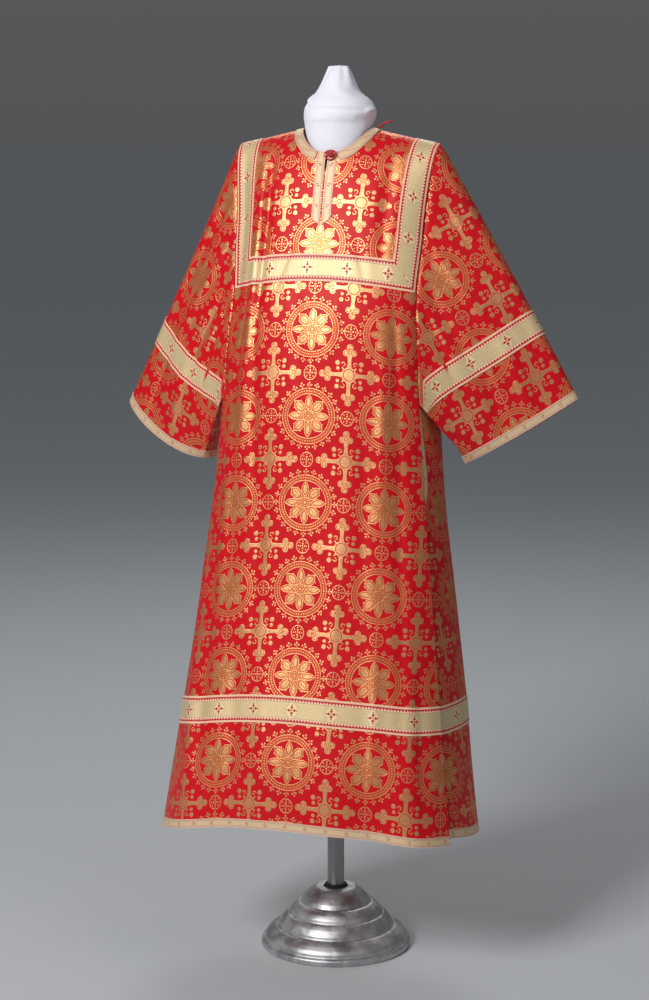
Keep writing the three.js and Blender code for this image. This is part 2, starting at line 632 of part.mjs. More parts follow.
// The loop that holds the button: out of the slit's other lip, round the button and back.
// Each row is the place across, the place below the neck edge and the height on the braid.
const LOOP_ROUTE = [
  [-5, 4.5, 2.2], [-2.5, 3.6, 2.4], [0.5, 1.4, 3.4], [4.5, -0.4, 4.4], [10, -0.6, 4.6], [15.6, 3, 4.2],
  [17.6, 9, 3.6], [14.6, 15.4, 3.2], [8, 18, 3], [1.5, 15.6, 2.8], [-2, 11.4, 2.4], [-5, 9, 2.2],
];
const buttonLoop = () => cordLoop(LOOP_ROUTE.map((place) => aboveSlit(...place)));

// The loop that stands up beside the neck, on the wearer's left shoulder seam.
function shoulderLoop() {
  const foot = shoulderPoint(86, 17);
  const [x, y, z] = [foot.x, foot.y, foot.z + CORD_RADIUS + 2.4];
  const half = [[-4, 3.2, 0], [1, 3.2, 3], [8, 3.8, 8], [16, 4.4, 11.5], [23, 3.4, 13.5]];
  const there = half.map(([out, wide, up]) => new THREE.Vector3(x + out, y - wide, z + up));
  const home = half.map(([out, wide, up]) => new THREE.Vector3(x + out, y + wide, z + up)).reverse();
  return cordLoop([...there, new THREE.Vector3(x + 26, y, z + 14), ...home]);
}

// ---- dress form and stand ---------------------------------------------------------------
// Levels of the form: half width, half depth, middle along Y. The shoulders follow the
// shoulder seam just under the cloth; above them stands a plain round neck.
const SEAT = 1.9;
const underSeam = (z) => NECK_HALF + (SHOULDER_HEIGHT - CLOTH - SEAT - z) / SHOULDER_SLOPE;
const FORM_LEVELS = [
  { z: FORM_BOTTOM, half: 136, deep: 84, middle: -24 },
  { z: 862, half: 146, deep: 92, middle: -24 },
  { z: 950, half: 160, deep: 98, middle: -24 },
  { z: 1060, half: 150, deep: 90, middle: -18 },
  { z: 1180, half: 136, deep: 82, middle: -12 },
  { z: 1300, half: 146, deep: 82, middle: -6 },
  { z: 1400, half: 160, deep: 80, middle: 0 },
  { z: 1480, half: 168, deep: 74, middle: 5 },
  { z: 1550, half: 176, deep: 62, middle: 10 },
  { z: 1600, half: 184, deep: 48, middle: 14 },
  { z: 1635, half: 196, deep: 32, middle: 18 },
  { z: 1658, half: 201, deep: 22, middle: 19 },
  { z: 1672, half: underSeam(1672), deep: 15, middle: 19 },
  { z: 1680, half: underSeam(1680), deep: 16, middle: 18 },
  { z: 1688, half: underSeam(1688) - 12, deep: 13, middle: 17 },
  { z: 1696, half: underSeam(1696) - 22, deep: 20, middle: 15 },
  { z: 1702, half: 50, deep: 38, middle: 14 },
  { z: 1745, half: 46, deep: 38, middle: 14 },
  { z: 1776, half: 43.8, deep: 36, middle: 14 },
];

// A closed lofted solid through rings of points, capped by a point at each end.
function loft(rings, bottom, top) {
  const around = rings[0].length;
  const vertices = [...rings.flat(), bottom, top];
  const faces = [];
  const at = (i, j) => i * around + (j % around);
  for (let i = 0; i < rings.length - 1; i += 1) {
    for (let j = 0; j < around; j += 1) {
      faces.push(at(i, j), at(i, j + 1), at(i + 1, j + 1), at(i, j), at(i + 1, j + 1), at(i + 1, j));
    }
  }
  const low = rings.length * around;
  for (let j = 0; j < around; j += 1) {
    faces.push(low, at(0, j + 1), at(0, j));
    faces.push(low + 1, at(rings.length - 1, j), at(rings.length - 1, j + 1));
  }
  return facingOut(indexed(vertices, faces));
}

function formTorso() {
  const around = 28;
  const rings = FORM_LEVELS.map((level) => Array.from({ length: around }, (_, j) => {
    const turn = 2 * Math.PI * j / around;
    const y = level.middle - level.deep * Math.cos(turn);
    return new THREE.Vector3(level.half * Math.sin(turn), y, level.z);
  }));
  const top = FORM_LEVELS[FORM_LEVELS.length - 1];
  return loft(rings, new THREE.Vector3(0, 6, FORM_BOTTOM), new THREE.Vector3(0, top.middle, top.z + 2));
}

// The white cloth drawn over the form's neck, gathered to a stub that leans to one side.
// Each level has its half width, its depth before and behind its middle, and its middle in X.
const COVER_LEVELS = [
  { z: 1700, half: 66, deep: 58, rear: 46, x: 0 },
  { z: 1714, half: 71, deep: 62, rear: 49, x: 1 },
  { z: 1738, half: 75, deep: 64, rear: 50, x: 4 },
  { z: 1757, half: 66, deep: 58, rear: 47, x: 3 },
  { z: 1776, half: 46, deep: 45, rear: 38, x: 0 },
  { z: 1797, half: 33, deep: 33, rear: 28, x: 1 },
  { z: 1814, half: 24.5, deep: 23, rear: 20, x: 1 },
  { z: 1827, half: 19, deep: 12, rear: 12, x: 0 },
];
const COVER_WALL = 1.5;
const COVER_TOP = 1829;
const COVER_RIM = 1700.9;        // lower edge of the cover at its sides

function neckCover() {
  const around = 28;
  const middle = 14;
  const ringAt = (level, shrink, low) => Array.from({ length: around }, (_, j) => {
    const turn = 2 * Math.PI * j / around;
    const forward = Math.max(0, Math.cos(turn));
    const rearward = Math.max(0, -Math.cos(turn));
    const rim = COVER_RIM - 50 * forward ** 1.5 - 6 * rearward ** 3;
    const deep = Math.cos(turn) > 0 ? level.deep : level.rear;
    const z = low ? rim : level.z - shrink * 0.3;
    return new THREE.Vector3(level.x + (level.half - shrink) * Math.sin(turn),
      middle - (deep - shrink) * Math.cos(turn), z);
  });
  const outer = COVER_LEVELS.map((level, i) => ringAt(level, 0, i === 0));
  const inner = COVER_LEVELS.map((level, i) => ringAt(level, COVER_WALL, i === 0));
  const vertices = [...outer.flat(), ...inner.flat()];
  const half = outer.length * around;
  const peak = new THREE.Vector3(0, middle, COVER_TOP);
  const peakInside = new THREE.Vector3(0, middle, COVER_TOP - 2);
  vertices.push(peak, peakInside);
  const at = (i, j) => i * around + (j % around);
  const faces = [];
  for (let j = 0; j < around; j += 1) {
    for (let i = 0; i < outer.length - 1; i += 1) {
      const [a, b, c, d] = [at(i, j), at(i, j + 1), at(i + 1, j + 1), at(i + 1, j)];
      faces.push(a, b, c, a, c, d, c + half, b + half, a + half, d + half, c + half, a + half);
    }
    const last = outer.length - 1;
    faces.push(at(last, j), at(last, j + 1), 2 * half);
    faces.push(at(last, j + 1) + half, at(last, j) + half, 2 * half + 1);
    const [a, b] = [at(0, j), at(0, j + 1)];
    faces.push(b, a, a + half, b, a + half, b + half);
  }
  return facingOut(indexed(vertices, faces));
}

// A turned solid from a profile of [radius, height] corners that starts and ends on the axis.
function turned(profile, segments) {
  const points = profile.map(([r, z]) => new THREE.Vector2(r, z));
  const geometry = new THREE.LatheGeometry(points, segments);
  geometry.rotateX(Math.PI / 2);
  geometry.deleteAttribute('normal');
  geometry.deleteAttribute('uv');
  return facingOut(mergeVertices(geometry, 1e-4));
}

const FOOT_TOP = 126;
const SOCKET_RADIUS = 25;
const SOCKET_FLOOR = 22;

function foot() {
  return turned([
    [0, 0], [FOOT_RADIUS - 2, 0], [FOOT_RADIUS, 3], [FOOT_RADIUS, 10], [FOOT_RADIUS - 4, 14],
    [FOOT_RADIUS - 7, 15], [FOOT_RADIUS - 10, 22], [143, 27], [134, 34], [124, 42], [120, 43],
    [117, 50], [108, 61], [101, 69], [96, 71], [93, 77], [85, 85], [76, 92], [72, 93],
    [68, 100], [58, 110], [50, 119], [44, 125], [40, FOOT_TOP], [SOCKET_RADIUS, FOOT_TOP],
    [SOCKET_RADIUS, SOCKET_FLOOR], [0, SOCKET_FLOOR],
  ], 40);
}

function bush() {
  const outer = SOCKET_RADIUS - SEAM;
  const inner = POLE_RADIUS + SEAM;
  const bottom = 70;
  const top = FOOT_TOP + 5;
  return turned([[inner, bottom], [outer, bottom], [outer, FOOT_TOP + 1], [outer - 2, top],
    [inner, top], [inner, bottom]], 32);
}

function pole() {
  const profile = [[0, SOCKET_FLOOR + SEAM], [POLE_RADIUS, SOCKET_FLOOR + SEAM],
    [POLE_RADIUS, FORM_BOTTOM - SEAM], [0, FORM_BOTTOM - SEAM]];
  return turned(profile, 32);
}

// ---- the whole --------------------------------------------------------------------------
add('stand_base', foot(), CAST_METAL);
add('pole_bush', bush(), BLACK_RUBBER);
add('stand_pole', pole(), STEEL);
add('form_torso', formTorso(), LINEN);
add('form_neck_cover', neckCover(), WHITE_CLOTH);
add('front', frontPanel(), RED_BROCADE);
add('back', backPanel(), RED_BROCADE);
for (const [name, sleeve] of Object.entries(SLEEVES)) {
  add(`sleeve_${name}`, sleeveTube(sleeve), RED_BROCADE);
  add(`sleeve_band_${name}`, sleeveBand(sleeve), GOLD_BRAID);
  add(`cuff_galloon_${name}`, cuffGalloon(sleeve), GOLD_BRAID);
  add(`placket_galloon_${name}`, placket(sleeve.side), GOLD_BRAID);
  add(`slit_galloon_${name}`, slitGalloon(sleeve.side), GOLD_BRAID);
}
add('yoke_galloon_front', yokeFront(), GOLD_BRAID);
add('yoke_galloon_back', yokeBack(), GOLD_BRAID);
add('skirt_band_front', frontBand(SKIRT_BAND_BOTTOM), GOLD_BRAID);
add('skirt_band_back', backBand(SKIRT_BAND_BOTTOM, 1), GOLD_BRAID);
add('hem_galloon_front', frontBand(HEM), GOLD_BRAID);
add('hem_galloon_back', backBand(HEM, 0), GOLD_BRAID);
add('neck_galloon', neckGalloon(), GOLD_BRAID);
add('neck_button', button(), RED_CORD);
add('neck_loop', buttonLoop(), RED_CORD);
add('shoulder_loop', shoulderLoop(), RED_CORD);

export default sticharion;
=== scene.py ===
"""A red and gold brocade sticharion on a limbless dress form.

The scene is in metres, +Z up, with the garment facing -Y and the wearer's left at +X.
The cut of the cloth is written in millimetres and turned into metres in each mesh.
"""
import bmesh
import bpy
import numpy as np
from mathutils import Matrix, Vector


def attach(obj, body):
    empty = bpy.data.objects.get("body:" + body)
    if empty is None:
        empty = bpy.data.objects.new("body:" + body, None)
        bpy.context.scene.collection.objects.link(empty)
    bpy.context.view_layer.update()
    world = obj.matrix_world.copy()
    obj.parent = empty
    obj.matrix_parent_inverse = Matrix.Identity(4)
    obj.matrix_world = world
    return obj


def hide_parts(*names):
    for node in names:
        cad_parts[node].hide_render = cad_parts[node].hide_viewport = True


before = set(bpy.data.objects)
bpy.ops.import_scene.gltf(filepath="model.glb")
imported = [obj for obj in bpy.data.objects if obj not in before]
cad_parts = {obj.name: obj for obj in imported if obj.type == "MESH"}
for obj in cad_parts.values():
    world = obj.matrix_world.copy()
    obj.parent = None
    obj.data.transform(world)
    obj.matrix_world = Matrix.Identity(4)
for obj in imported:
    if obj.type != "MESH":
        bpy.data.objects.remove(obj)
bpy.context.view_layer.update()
MM = 0.001


# ---- The studio -----------------------------------------------------------------------
# A pale floor and a pale room. The key lamp stands in front, a little to the wearer's right,
# a weak one to the wearer's left and a third behind, and the camera has a long portrait lens.

def lamp(name, azimuth, elevation, distance, size, watts):
    """A square lamp aimed at the chest, azimuth 0 in front and 90 at the wearer's left."""
    a, e = np.radians(azimuth), np.radians(elevation)
    aim = Vector((0, 0, 1.05))
    place = aim + distance * Vector((np.sin(a) * np.cos(e), -np.cos(a) * np.cos(e), np.sin(e)))
    light = bpy.data.lights.new(name, "AREA")
    light.size = size
    light.energy = watts
    lamp_object = bpy.data.objects.new(name, light)
    lamp_object.location = place
    lamp_object.rotation_euler = (aim - place).to_track_quat("-Z", "Y").to_euler()
    bpy.context.collection.objects.link(lamp_object)


lamp("key", azimuth=-18, elevation=30, distance=5.6, size=1.7, watts=250)
lamp("fill", azimuth=62, elevation=46, distance=4.6, size=2.4, watts=20)
lamp("rim", azimuth=200, elevation=42, distance=4.2, size=1.8, watts=45)

room = bpy.data.worlds.new("room")
room.use_nodes = True
walls = room.node_tree.nodes["Background"]
walls.inputs["Color"].default_value = (0.80, 0.84, 0.88, 1)
direction = room.node_tree.nodes.new("ShaderNodeTexCoord")
height_of = room.node_tree.nodes.new("ShaderNodeSeparateXYZ")
climb = room.node_tree.nodes.new("ShaderNodeMapRange")
room.node_tree.links.new(direction.outputs["Generated"], height_of.inputs[0])
room.node_tree.links.new(height_of.outputs["Z"], climb.inputs["Value"])
room.node_tree.links.new(climb.outputs["Result"], walls.inputs["Strength"])
for socket, value in (("From Max", 0.5), ("To Min", 0.107), ("To Max", 0.20)):
    climb.inputs[socket].default_value = value      # dim at the horizon, brighter overhead
bpy.context.scene.world = room
bpy.context.scene.view_settings.view_transform = "Standard"

bpy.ops.mesh.primitive_plane_add(size=400)
floor = bpy.context.object
floor.name = "floor"
floor_paint = bpy.data.materials.new("floor_paint")
floor_paint.use_nodes = True
floor_shader = floor_paint.node_tree.nodes["Principled BSDF"]
floor_shader.inputs["Base Color"].default_value = (0.50, 0.52, 0.54, 1)
floor_shader.inputs["Roughness"].default_value = 0.85
floor.data.materials.append(floor_paint)

VIEW_AZIMUTH = np.radians(20)
VIEW_DISTANCE = 4.8
VIEW_HEIGHT = 1.70
VIEW_ASIDE = -0.024
VIEW_DOWN = np.radians(8.9)
lens = bpy.data.cameras.new("camera")
lens.lens = 85
lens.sensor_fit = "VERTICAL"
lens.sensor_height = 36
camera = bpy.data.objects.new("camera", lens)
camera.location = (VIEW_DISTANCE * np.sin(VIEW_AZIMUTH) + VIEW_ASIDE * np.cos(VIEW_AZIMUTH),
                   -VIEW_DISTANCE * np.cos(VIEW_AZIMUTH) + VIEW_ASIDE * np.sin(VIEW_AZIMUTH),
                   VIEW_HEIGHT)
camera.rotation_euler = (np.pi / 2 - VIEW_DOWN, 0, VIEW_AZIMUTH)
bpy.context.collection.objects.link(camera)
bpy.context.scene.camera = camera


# ---- The hang of the cloth ------------------------------------------------------------
# Two straight panels hang from the shoulders of the form. Every level of them is a rounded
# oval, the thread lines drop at the sides, and the skirt breaks into soft flutes.

HEM, UNDERARM, CHEST, RIDGE = 328, 1180, 1500, 1700   # levels of the thread lines
NECK_HALF, NECK_FRONT, NECK_BACK, NECK_MIDDLE = 71, 63, 54, 12
SHOULDER_HALF, SHOULDER_HEIGHT, SHOULDER_SLOPE, CHEST_RISE = 214, 1704, 0.22, 85
FRONT_ROUNDNESS, BACK_ROUNDNESS = 2.4, 2.2
BACK_ARMHOLE, BACK_WRAP, LAP_START = 65, 118, 72      # degrees from the centre back
BACK_FULL = np.sin(np.radians(BACK_ARMHOLE)) ** (2 / BACK_ROUNDNESS)

LEVEL_NAMES = ("z", "middle", "half", "front", "back", "edge", "right", "left", "rear")
LEVELS = np.array([
    (260, -95, 338, 214, 180, 318, 52, 30, 33),
    (328, -90, 329, 210, 176, 309, 48, 28, 32),
    (440, -79, 312, 208, 174, 293, 45, 23, 27),
    (570, -67, 294, 192, 167, 276, 42, 20, 23),
    (696, -60, 277, 171, 157, 260, 37, 19, 20),
    (820, -56, 262, 152, 149, 246, 32, 19, 20),
    (948, -48, 246, 140, 140, 231, 27, 19, 20),
    (1030, -42, 238, 135, 135, 223, 24, 20, 20),
    (1130, -38, 231, 128, 130, 214, 21, 20, 20),
    (1300, -26, 223, 117, 121, 202, 22, 22, 20),
    (1400, -16, 219, 106, 114, 196, 22, 22, 20),
    (1500, 0, 216, 97, 104, 200, 16, 16, 16),
], dtype=float)

# Flutes: degrees from the centre front, spread, level where one starts, level where it is
# fully there, and its rise (+) or depth.
FLUTES = (
    (47, 11, 1050, 330, 13), (27, 9, 760, 300, -9), (-20, 10, 700, 320, -6),
    (-44, 12, 900, 330, 8), (-53, 7, 1140, 1330, -9), (92, 12, 1000, 330, 3),
    (-90, 13, 960, 330, 4), (122, 12, 1100, 340, -13), (148, 11, 1180, 320, 14),
    (171, 9, 900, 340, -10), (196, 12, 1250, 330, 13), (222, 10, 1000, 340, -11),
    (242, 10, 880, 330, 9),
)


def smooth(value, low, high):
    """0 below low and 1 above high, with 3t^2 - 2t^3 between."""
    t = np.clip((value - low) / (high - low), 0, 1)
    return t * t * (3 - 2 * t)


def signed_power(value, exponent):
    """The power of the value's size, with the value's sign."""
    return np.sign(value) * np.abs(value) ** exponent


def level(name, z):
    """A column of LEVELS at any height."""
    return through(LEVELS[:, 0], LEVELS[:, LEVEL_NAMES.index(name)], z)


def through(heights, column, z):
    """Cubic curves through a column of values, with the slope between their neighbours."""
    slope = np.empty(len(column))
    slope[1:-1] = (column[2:] - column[:-2]) / (heights[2:] - heights[:-2])
    slope[0] = (column[1] - column[0]) / (heights[1] - heights[0])
    slope[-1] = (column[-1] - column[-2]) / (heights[-1] - heights[-2])
    i = np.clip(np.searchsorted(heights, z, side="right") - 1, 0, len(heights) - 2)
    span = heights[i + 1] - heights[i]
    t = (z - heights[i]) / span
    ends = (2 * t**3 - 3 * t**2 + 1) * column[i] + (3 * t**2 - 2 * t**3) * column[i + 1]
    return ends + ((t**3 - 2 * t**2 + t) * slope[i] + (t**3 - t**2) * slope[i + 1]) * span


def ring(angle, z):
    """A point of the body: an oval |x/half|^n + |y/depth|^n = 1 at an angle from the centre
    front, moved out along its normal by the sum of the flutes, each a Gaussian of the angle
    that grows from its start down to full."""
    sine, cosine = np.sin(np.radians(angle)), np.cos(np.radians(angle))
    depth = np.where(cosine > 0, level("front", z), level("back", z))
    n = np.where(cosine > 0, FRONT_ROUNDNESS, BACK_ROUNDNESS)
    half = level("half", z)
    x = half * signed_power(sine, 2 / n)
    y = -depth * signed_power(cosine, 2 / n)
    out_x = signed_power(x / half, n - 1) / half
    out_y = signed_power(y / depth, n - 1) / depth
    size = np.hypot(out_x, out_y)
    rise = 0
    for at, spread, start, full, height in FLUTES:
        away = (angle - at + 180) % 360 - 180
        reach = np.clip((z - start) / (full - start), 0, 1)
        rise = rise + height * reach**1.3 * np.exp(-((away / spread) ** 2))
    return np.stack([x + out_x / size * rise, level("middle", z) + y + out_y / size * rise,
                     z + 0 * x], -1)


def ridge_line(x):
    """Y of the shoulder seam at a place across."""
    return 14 + 6 * np.abs(x) / SHOULDER_HALF


def shoulder(ridge_x, chest, t, run, drop, lean):
    """A column's way from the shoulder seam (t = 0) down to the chest (t = 1): a cubic
    Bezier curve that leaves the seam level and reaches the chest upright."""
    beyond = np.abs(ridge_x) - NECK_HALF
    top = SHOULDER_HEIGHT - SHOULDER_SLOPE * np.where(beyond > 0, beyond, beyond * 0.5)
    seam = np.stack([ridge_x, ridge_line(ridge_x), top], -1)
    high = np.stack([ridge_x, seam[..., 1] + run, top - drop], -1)
    low = chest + np.array([0, lean, CHEST_RISE])
    t = t[..., None]
    return (1 - t)**3 * seam + 3 * (1 - t)**2 * t * high + 3 * (1 - t) * t**2 * low + t**3 * chest


def front(f, k):
    """The front panel: f from -1 to 1 between its side edges, k the height of the thread
    line at the centre front. The line drops with f squared towards the sides."""
    f, k = np.broadcast_arrays(np.asarray(f, float), np.asarray(k, float))
    low = np.minimum(k, CHEST)
    x = f * level("edge", low)
    z = low - np.where(f < 0, level("right", low), level("left", low)) * f * f
    share = np.minimum(1, (np.abs(x) / level("half", z)) ** (FRONT_ROUNDNESS / 2))
    point = ring(np.sign(f) * np.degrees(np.arcsin(share)), z)
    t = np.clip((RIDGE - k) / (RIDGE - CHEST), 0, 1)
    run = -(72 + (46 - 72) * np.abs(f))
    over = shoulder(f * SHOULDER_HALF, point, t, run, 5, 20)
    return np.where((k > CHEST)[..., None], over, point)


def lap_depth(k):
    """How far the back's side edges lie inside the front's at a level."""
    return 5 + 4 * smooth(-k, -700, -HEM)


def back(angle, k):
    """The back panel: angle in degrees from the centre back, towards the wearer's left. Its
    side edges pass inside the front's by the lap."""
    angle, k = np.broadcast_arrays(np.asarray(angle, float), np.asarray(k, float))
    away = np.abs(angle)
    low = np.minimum(k, CHEST)
    lifted = 16 * smooth(away, 84, BACK_WRAP) * smooth(-k, -560, -HEM)
    z = low - level("rear", low) + lifted
    point = ring(180 - angle, z)
    inwards = np.stack([-point[..., 0], level("middle", z) - point[..., 1], 0 * z], -1)
    inwards /= np.linalg.norm(inwards, axis=-1, keepdims=True)
    lap = lap_depth(k) * smooth(away, LAP_START, 98)
    point = point + inwards * lap[..., None]
    t = np.clip((RIDGE - k) / (RIDGE - CHEST), 0, 1)
    share = signed_power(np.sin(np.radians(np.clip(angle, -90, 90))), 2 / BACK_ROUNDNESS)
    run = 64 + (44 - 64) * np.abs(share)
    over = shoulder(share / BACK_FULL * SHOULDER_HALF, point, t, run, 4, 8)
    return np.where((k > CHEST)[..., None], over, point)


def across(a, b):
    """The unit cross product of two arrays of directions."""
    product = np.cross(a, b)
    return product / np.maximum(np.linalg.norm(product, axis=-1, keepdims=True), 1e-9)


def raised(surface, a, b, step_a, step_b, rise):
    """Points of a surface moved along its normal, the cross product of two central
    differences, by the rise."""
    along_a = surface(a + step_a, b) - surface(a - step_a, b)
    along_b = surface(a, b + step_b) - surface(a, b - step_b)
    return surface(a, b) + across(along_a, along_b) * np.asarray(rise)[..., None]


def creases(table, place, height):
    """The sum of small folds. Each is a soft ridge (+) or trough (-) across place, whose
    middle leans with height, and it fades out above and below its middle height."""
    rise = 0
    for at, lean, middle, reach, spread, depth in table:
        line = (place - at - lean * (height - middle)) / spread
        fade = np.exp(-np.abs((height - middle) / reach) ** 3)
        rise = rise + depth * np.exp(-line * line) * fade
    return rise


# Small folds of the front: place across in mm, lean, middle level, reach, spread and rise.
FRONT_CREASES = (
    (-120, 0.03, 1500, 175, 8, -5.0), (-137, 0.03, 1480, 170, 9, 2.6), (128, 0.02, 1560, 110, 13, -2.4),
    (-165, 0.10, 1290, 130, 9, -3.5), (-148, 0.05, 1170, 150, 13, 3), (-120, -0.05, 1120, 160, 11, -2.5),
    (-182, 0.02, 960, 190, 12, 3), (-95, 0.03, 900, 210, 15, -2), (-205, 0.0, 660, 200, 14, -3.5),
    (-232, -0.05, 520, 180, 13, 3.5), (-130, -0.04, 520, 170, 18, -2.5), (-60, -0.02, 480, 160, 20, 2.2),
    (168, -0.08, 1260, 120, 9, -3), (150, -0.03, 1120, 160, 12, 2.8), (186, -0.05, 980, 170, 10, -3.2),
    (120, -0.03, 930, 190, 15, -2), (70, 0.02, 700, 200, 18, 1.8), (205, -0.06, 700, 180, 12, -3),
    (250, -0.1, 520, 170, 11, -3.5), (20, 0.02, 560, 190, 20, -1.6), (165, -0.05, 560, 170, 14, 2.6),
    (-70, 0.35, 1440, 45, 9, -1.4), (88, -0.3, 1450, 42, 9, -1.3), (40, 0.12, 1310, 90, 14, 1.2),
    (-30, -0.1, 1290, 100, 13, -1.2),
)
# The same for the back: degrees from the centre back, lean, level, reach, spread, rise.
BACK_CREASES = (
    (-8, 0.01, 1350, 170, 3.6, -2.8), (6, -0.008, 1220, 210, 4.5, 3), (-26, 0.012, 1180, 220, 4.2, -3.2),
    (30, -0.01, 1240, 190, 4.0, -3), (46, -0.012, 1120, 200, 4.4, 3.4), (-48, 0.01, 1060, 220, 4.6, 3.2),
    (18, 0.004, 860, 230, 4.8, -3.4), (-16, -0.004, 760, 220, 5.0, 3.2), (-62, 0.004, 820, 230, 4.6, -3.6),
    (60, -0.006, 800, 220, 4.4, -3.2), (78, 0.0, 690, 210, 4.2, 3.6), (-80, 0.0, 640, 190, 4.4, 3.4),
    (36, 0.004, 560, 170, 4.6, 3), (-38, -0.002, 540, 170, 4.4, -3), (2, 0.0, 520, 160, 4.8, 2.6),
    (100, 0.0, 760, 240, 4.0, -2.4), (-100, 0.0, 700, 240, 4.0, -2.4),
)
FRONT_FOLD_SCALE = 1.35 # all the front's small folds are this much deeper than the table
SEAM_DIP = 1.6          # the armhole seam draws the cloth in by this much
SEAM_FADE = 60          # and fades out over this much above the underarm


def front_cloth(f, k):
    """The front with its small folds, drawn in along the armhole seams."""
    f, k = np.broadcast_arrays(np.asarray(f, float), np.asarray(k, float))
    place = f * level("edge", np.minimum(k, CHEST))
    quiet = 1 - smooth(k, 1580, 1660)
    rise = (FRONT_FOLD_SCALE * creases(FRONT_CREASES, place, k) * quiet
            * (1 - smooth(np.abs(f), 0.93, 1)))
    hole = np.exp(-(((1 - np.abs(f)) / 0.025) ** 2)) * smooth(k, UNDERARM, UNDERARM + SEAM_FADE)
    rise = rise - SEAM_DIP * hole
    return raised(front, f, k, 0.004, 1.0, rise)


def back_cloth(angle, k):
    """The back with its small folds, drawn in along the armhole seams."""
    angle, k = np.broadcast_arrays(np.asarray(angle, float), np.asarray(k, float))
    quiet = (1 - smooth(k, 1450, 1560)) * (1 - smooth(np.abs(angle), 104, BACK_WRAP))
    rise = creases(BACK_CREASES, angle, k) * quiet
    hole = (np.exp(-(((BACK_ARMHOLE - np.abs(angle)) / 1.3) ** 2))
            * smooth(k, UNDERARM, UNDERARM + SEAM_FADE))
    return raised(back, angle, k, 0.6, 1.0, -(rise - SEAM_DIP * hole))


def neck_level(column, places):
    """The level at which each column reaches the oval neck opening, found by halving."""
    low = np.full(np.shape(places), float(CHEST))
    high = np.full(np.shape(places), float(RIDGE))

    def inside(k):
        p = column(places, k)
        depth = np.where(p[..., 1] < NECK_MIDDLE, NECK_FRONT, NECK_BACK)
        return (p[..., 0] / NECK_HALF)**2 + ((p[..., 1] - NECK_MIDDLE) / depth)**2 < 1

    beside = ~inside(high)
    for _ in range(26):
        middle = (low + high) / 2
        within = inside(middle)
        high = np.where(within, middle, high)
        low = np.where(within, low, middle)
    return np.where(beside, RIDGE - 0.3, low)


def sheet_mesh(name, points, flat, wrapped=False, keep=None):
    """A mesh of quads from a grid of points in mm, with the flat cloth's own measures, in
    metres, as its UV map. A wrapped grid has one more column of measures than of points.
    The faces are turned away from the inside: each ring's middle, or the body's axis."""
    rows, columns = points.shape[:2]
    cells = columns if wrapped else columns - 1
    i, j = np.meshgrid(np.arange(rows - 1), np.arange(cells), indexing="ij")
    corners_i = np.stack([i, i, i + 1, i + 1], -1).reshape(-1, 4)
    corners_j = np.stack([j, j + 1, j + 1, j], -1).reshape(-1, 4)
    if keep is not None:
        kept = keep(i, j).reshape(-1)
        corners_i, corners_j = corners_i[kept], corners_j[kept]
    corners = points[corners_i, corners_j % columns]
    facing = np.cross(corners[:, 2] - corners[:, 0], corners[:, 3] - corners[:, 1])
    if wrapped:
        centre = points.mean(1)[corners_i[:, 0]]
    else:
        centre = np.stack([0 * corners[:, 0, 0], 0 * corners[:, 0, 0], corners[:, 0, 2] - 200], -1)
    if (facing * (corners.mean(1) - centre)).sum() < 0:
        corners_i, corners_j = corners_i[:, ::-1], corners_j[:, ::-1]
    faces = corners_i * columns + corners_j % columns
    used, faces = np.unique(faces, return_inverse=True)
    mesh = bpy.data.meshes.new(name)
    mesh.from_pydata((points.reshape(-1, 3)[used] * MM).tolist(), [], faces.reshape(-1, 4).tolist())
    cut = flat[corners_i, corners_j].reshape(-1, 2) * MM
    mesh.uv_layers.new(name="cloth").data.foreach_set("uv", cut.reshape(-1).astype(np.float32))
    mesh.shade_smooth()
    edge_of = np.zeros(len(mesh.loops), np.int32)
    mesh.loops.foreach_get("edge_index", edge_of)
    rim = np.bincount(edge_of, minlength=len(mesh.edges)) == 1
    mesh.attributes.new("sharp_edge", "BOOLEAN", "EDGE").data.foreach_set("value", rim)
    piece = bpy.data.objects.new(name, mesh)
    bpy.context.collection.objects.link(piece)
    return piece


WELD_REACH = 0.00002    # in metres: joins points that were made in the same place


def weld(piece):
    """Joins the points that lie on each other."""
    piece.modifiers.new("weld", "WELD").merge_threshold = WELD_REACH


def seat(piece, material, nodes):
    """Gives a piece its material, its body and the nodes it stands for."""
    piece.data.materials.append(material)
    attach(piece, "root")
    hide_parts(*nodes)
    return piece


def finish_cloth(piece, thickness, material, nodes, merge=False):
    """Gives a sheet its wall inwards, its material and its place in the frame."""
    if merge:
        weld(piece)
    wall = piece.modifiers.new("wall", "SOLIDIFY")
    wall.thickness = thickness * MM
    wall.offset = -1
    wall.use_even_offset = False
    return seat(piece, material, nodes)


def lengths(points, axis):
    """Distances along a grid's rows (axis 1) or columns (axis 0), from its first point."""
    steps = np.linalg.norm(np.diff(points, axis=axis), axis=-1)
    start = np.zeros_like(np.take(steps, [0], axis=axis))
    return np.cumsum(np.concatenate([start, steps], axis=axis), axis=axis)


# ---- Shader arithmetic ----------------------------------------------------------------
# The weaves are drawn by the shader from the flat cloth's own measures, as a loom repeats
# a draft: distances to circles, leaves and lines, combined as wider and narrower.

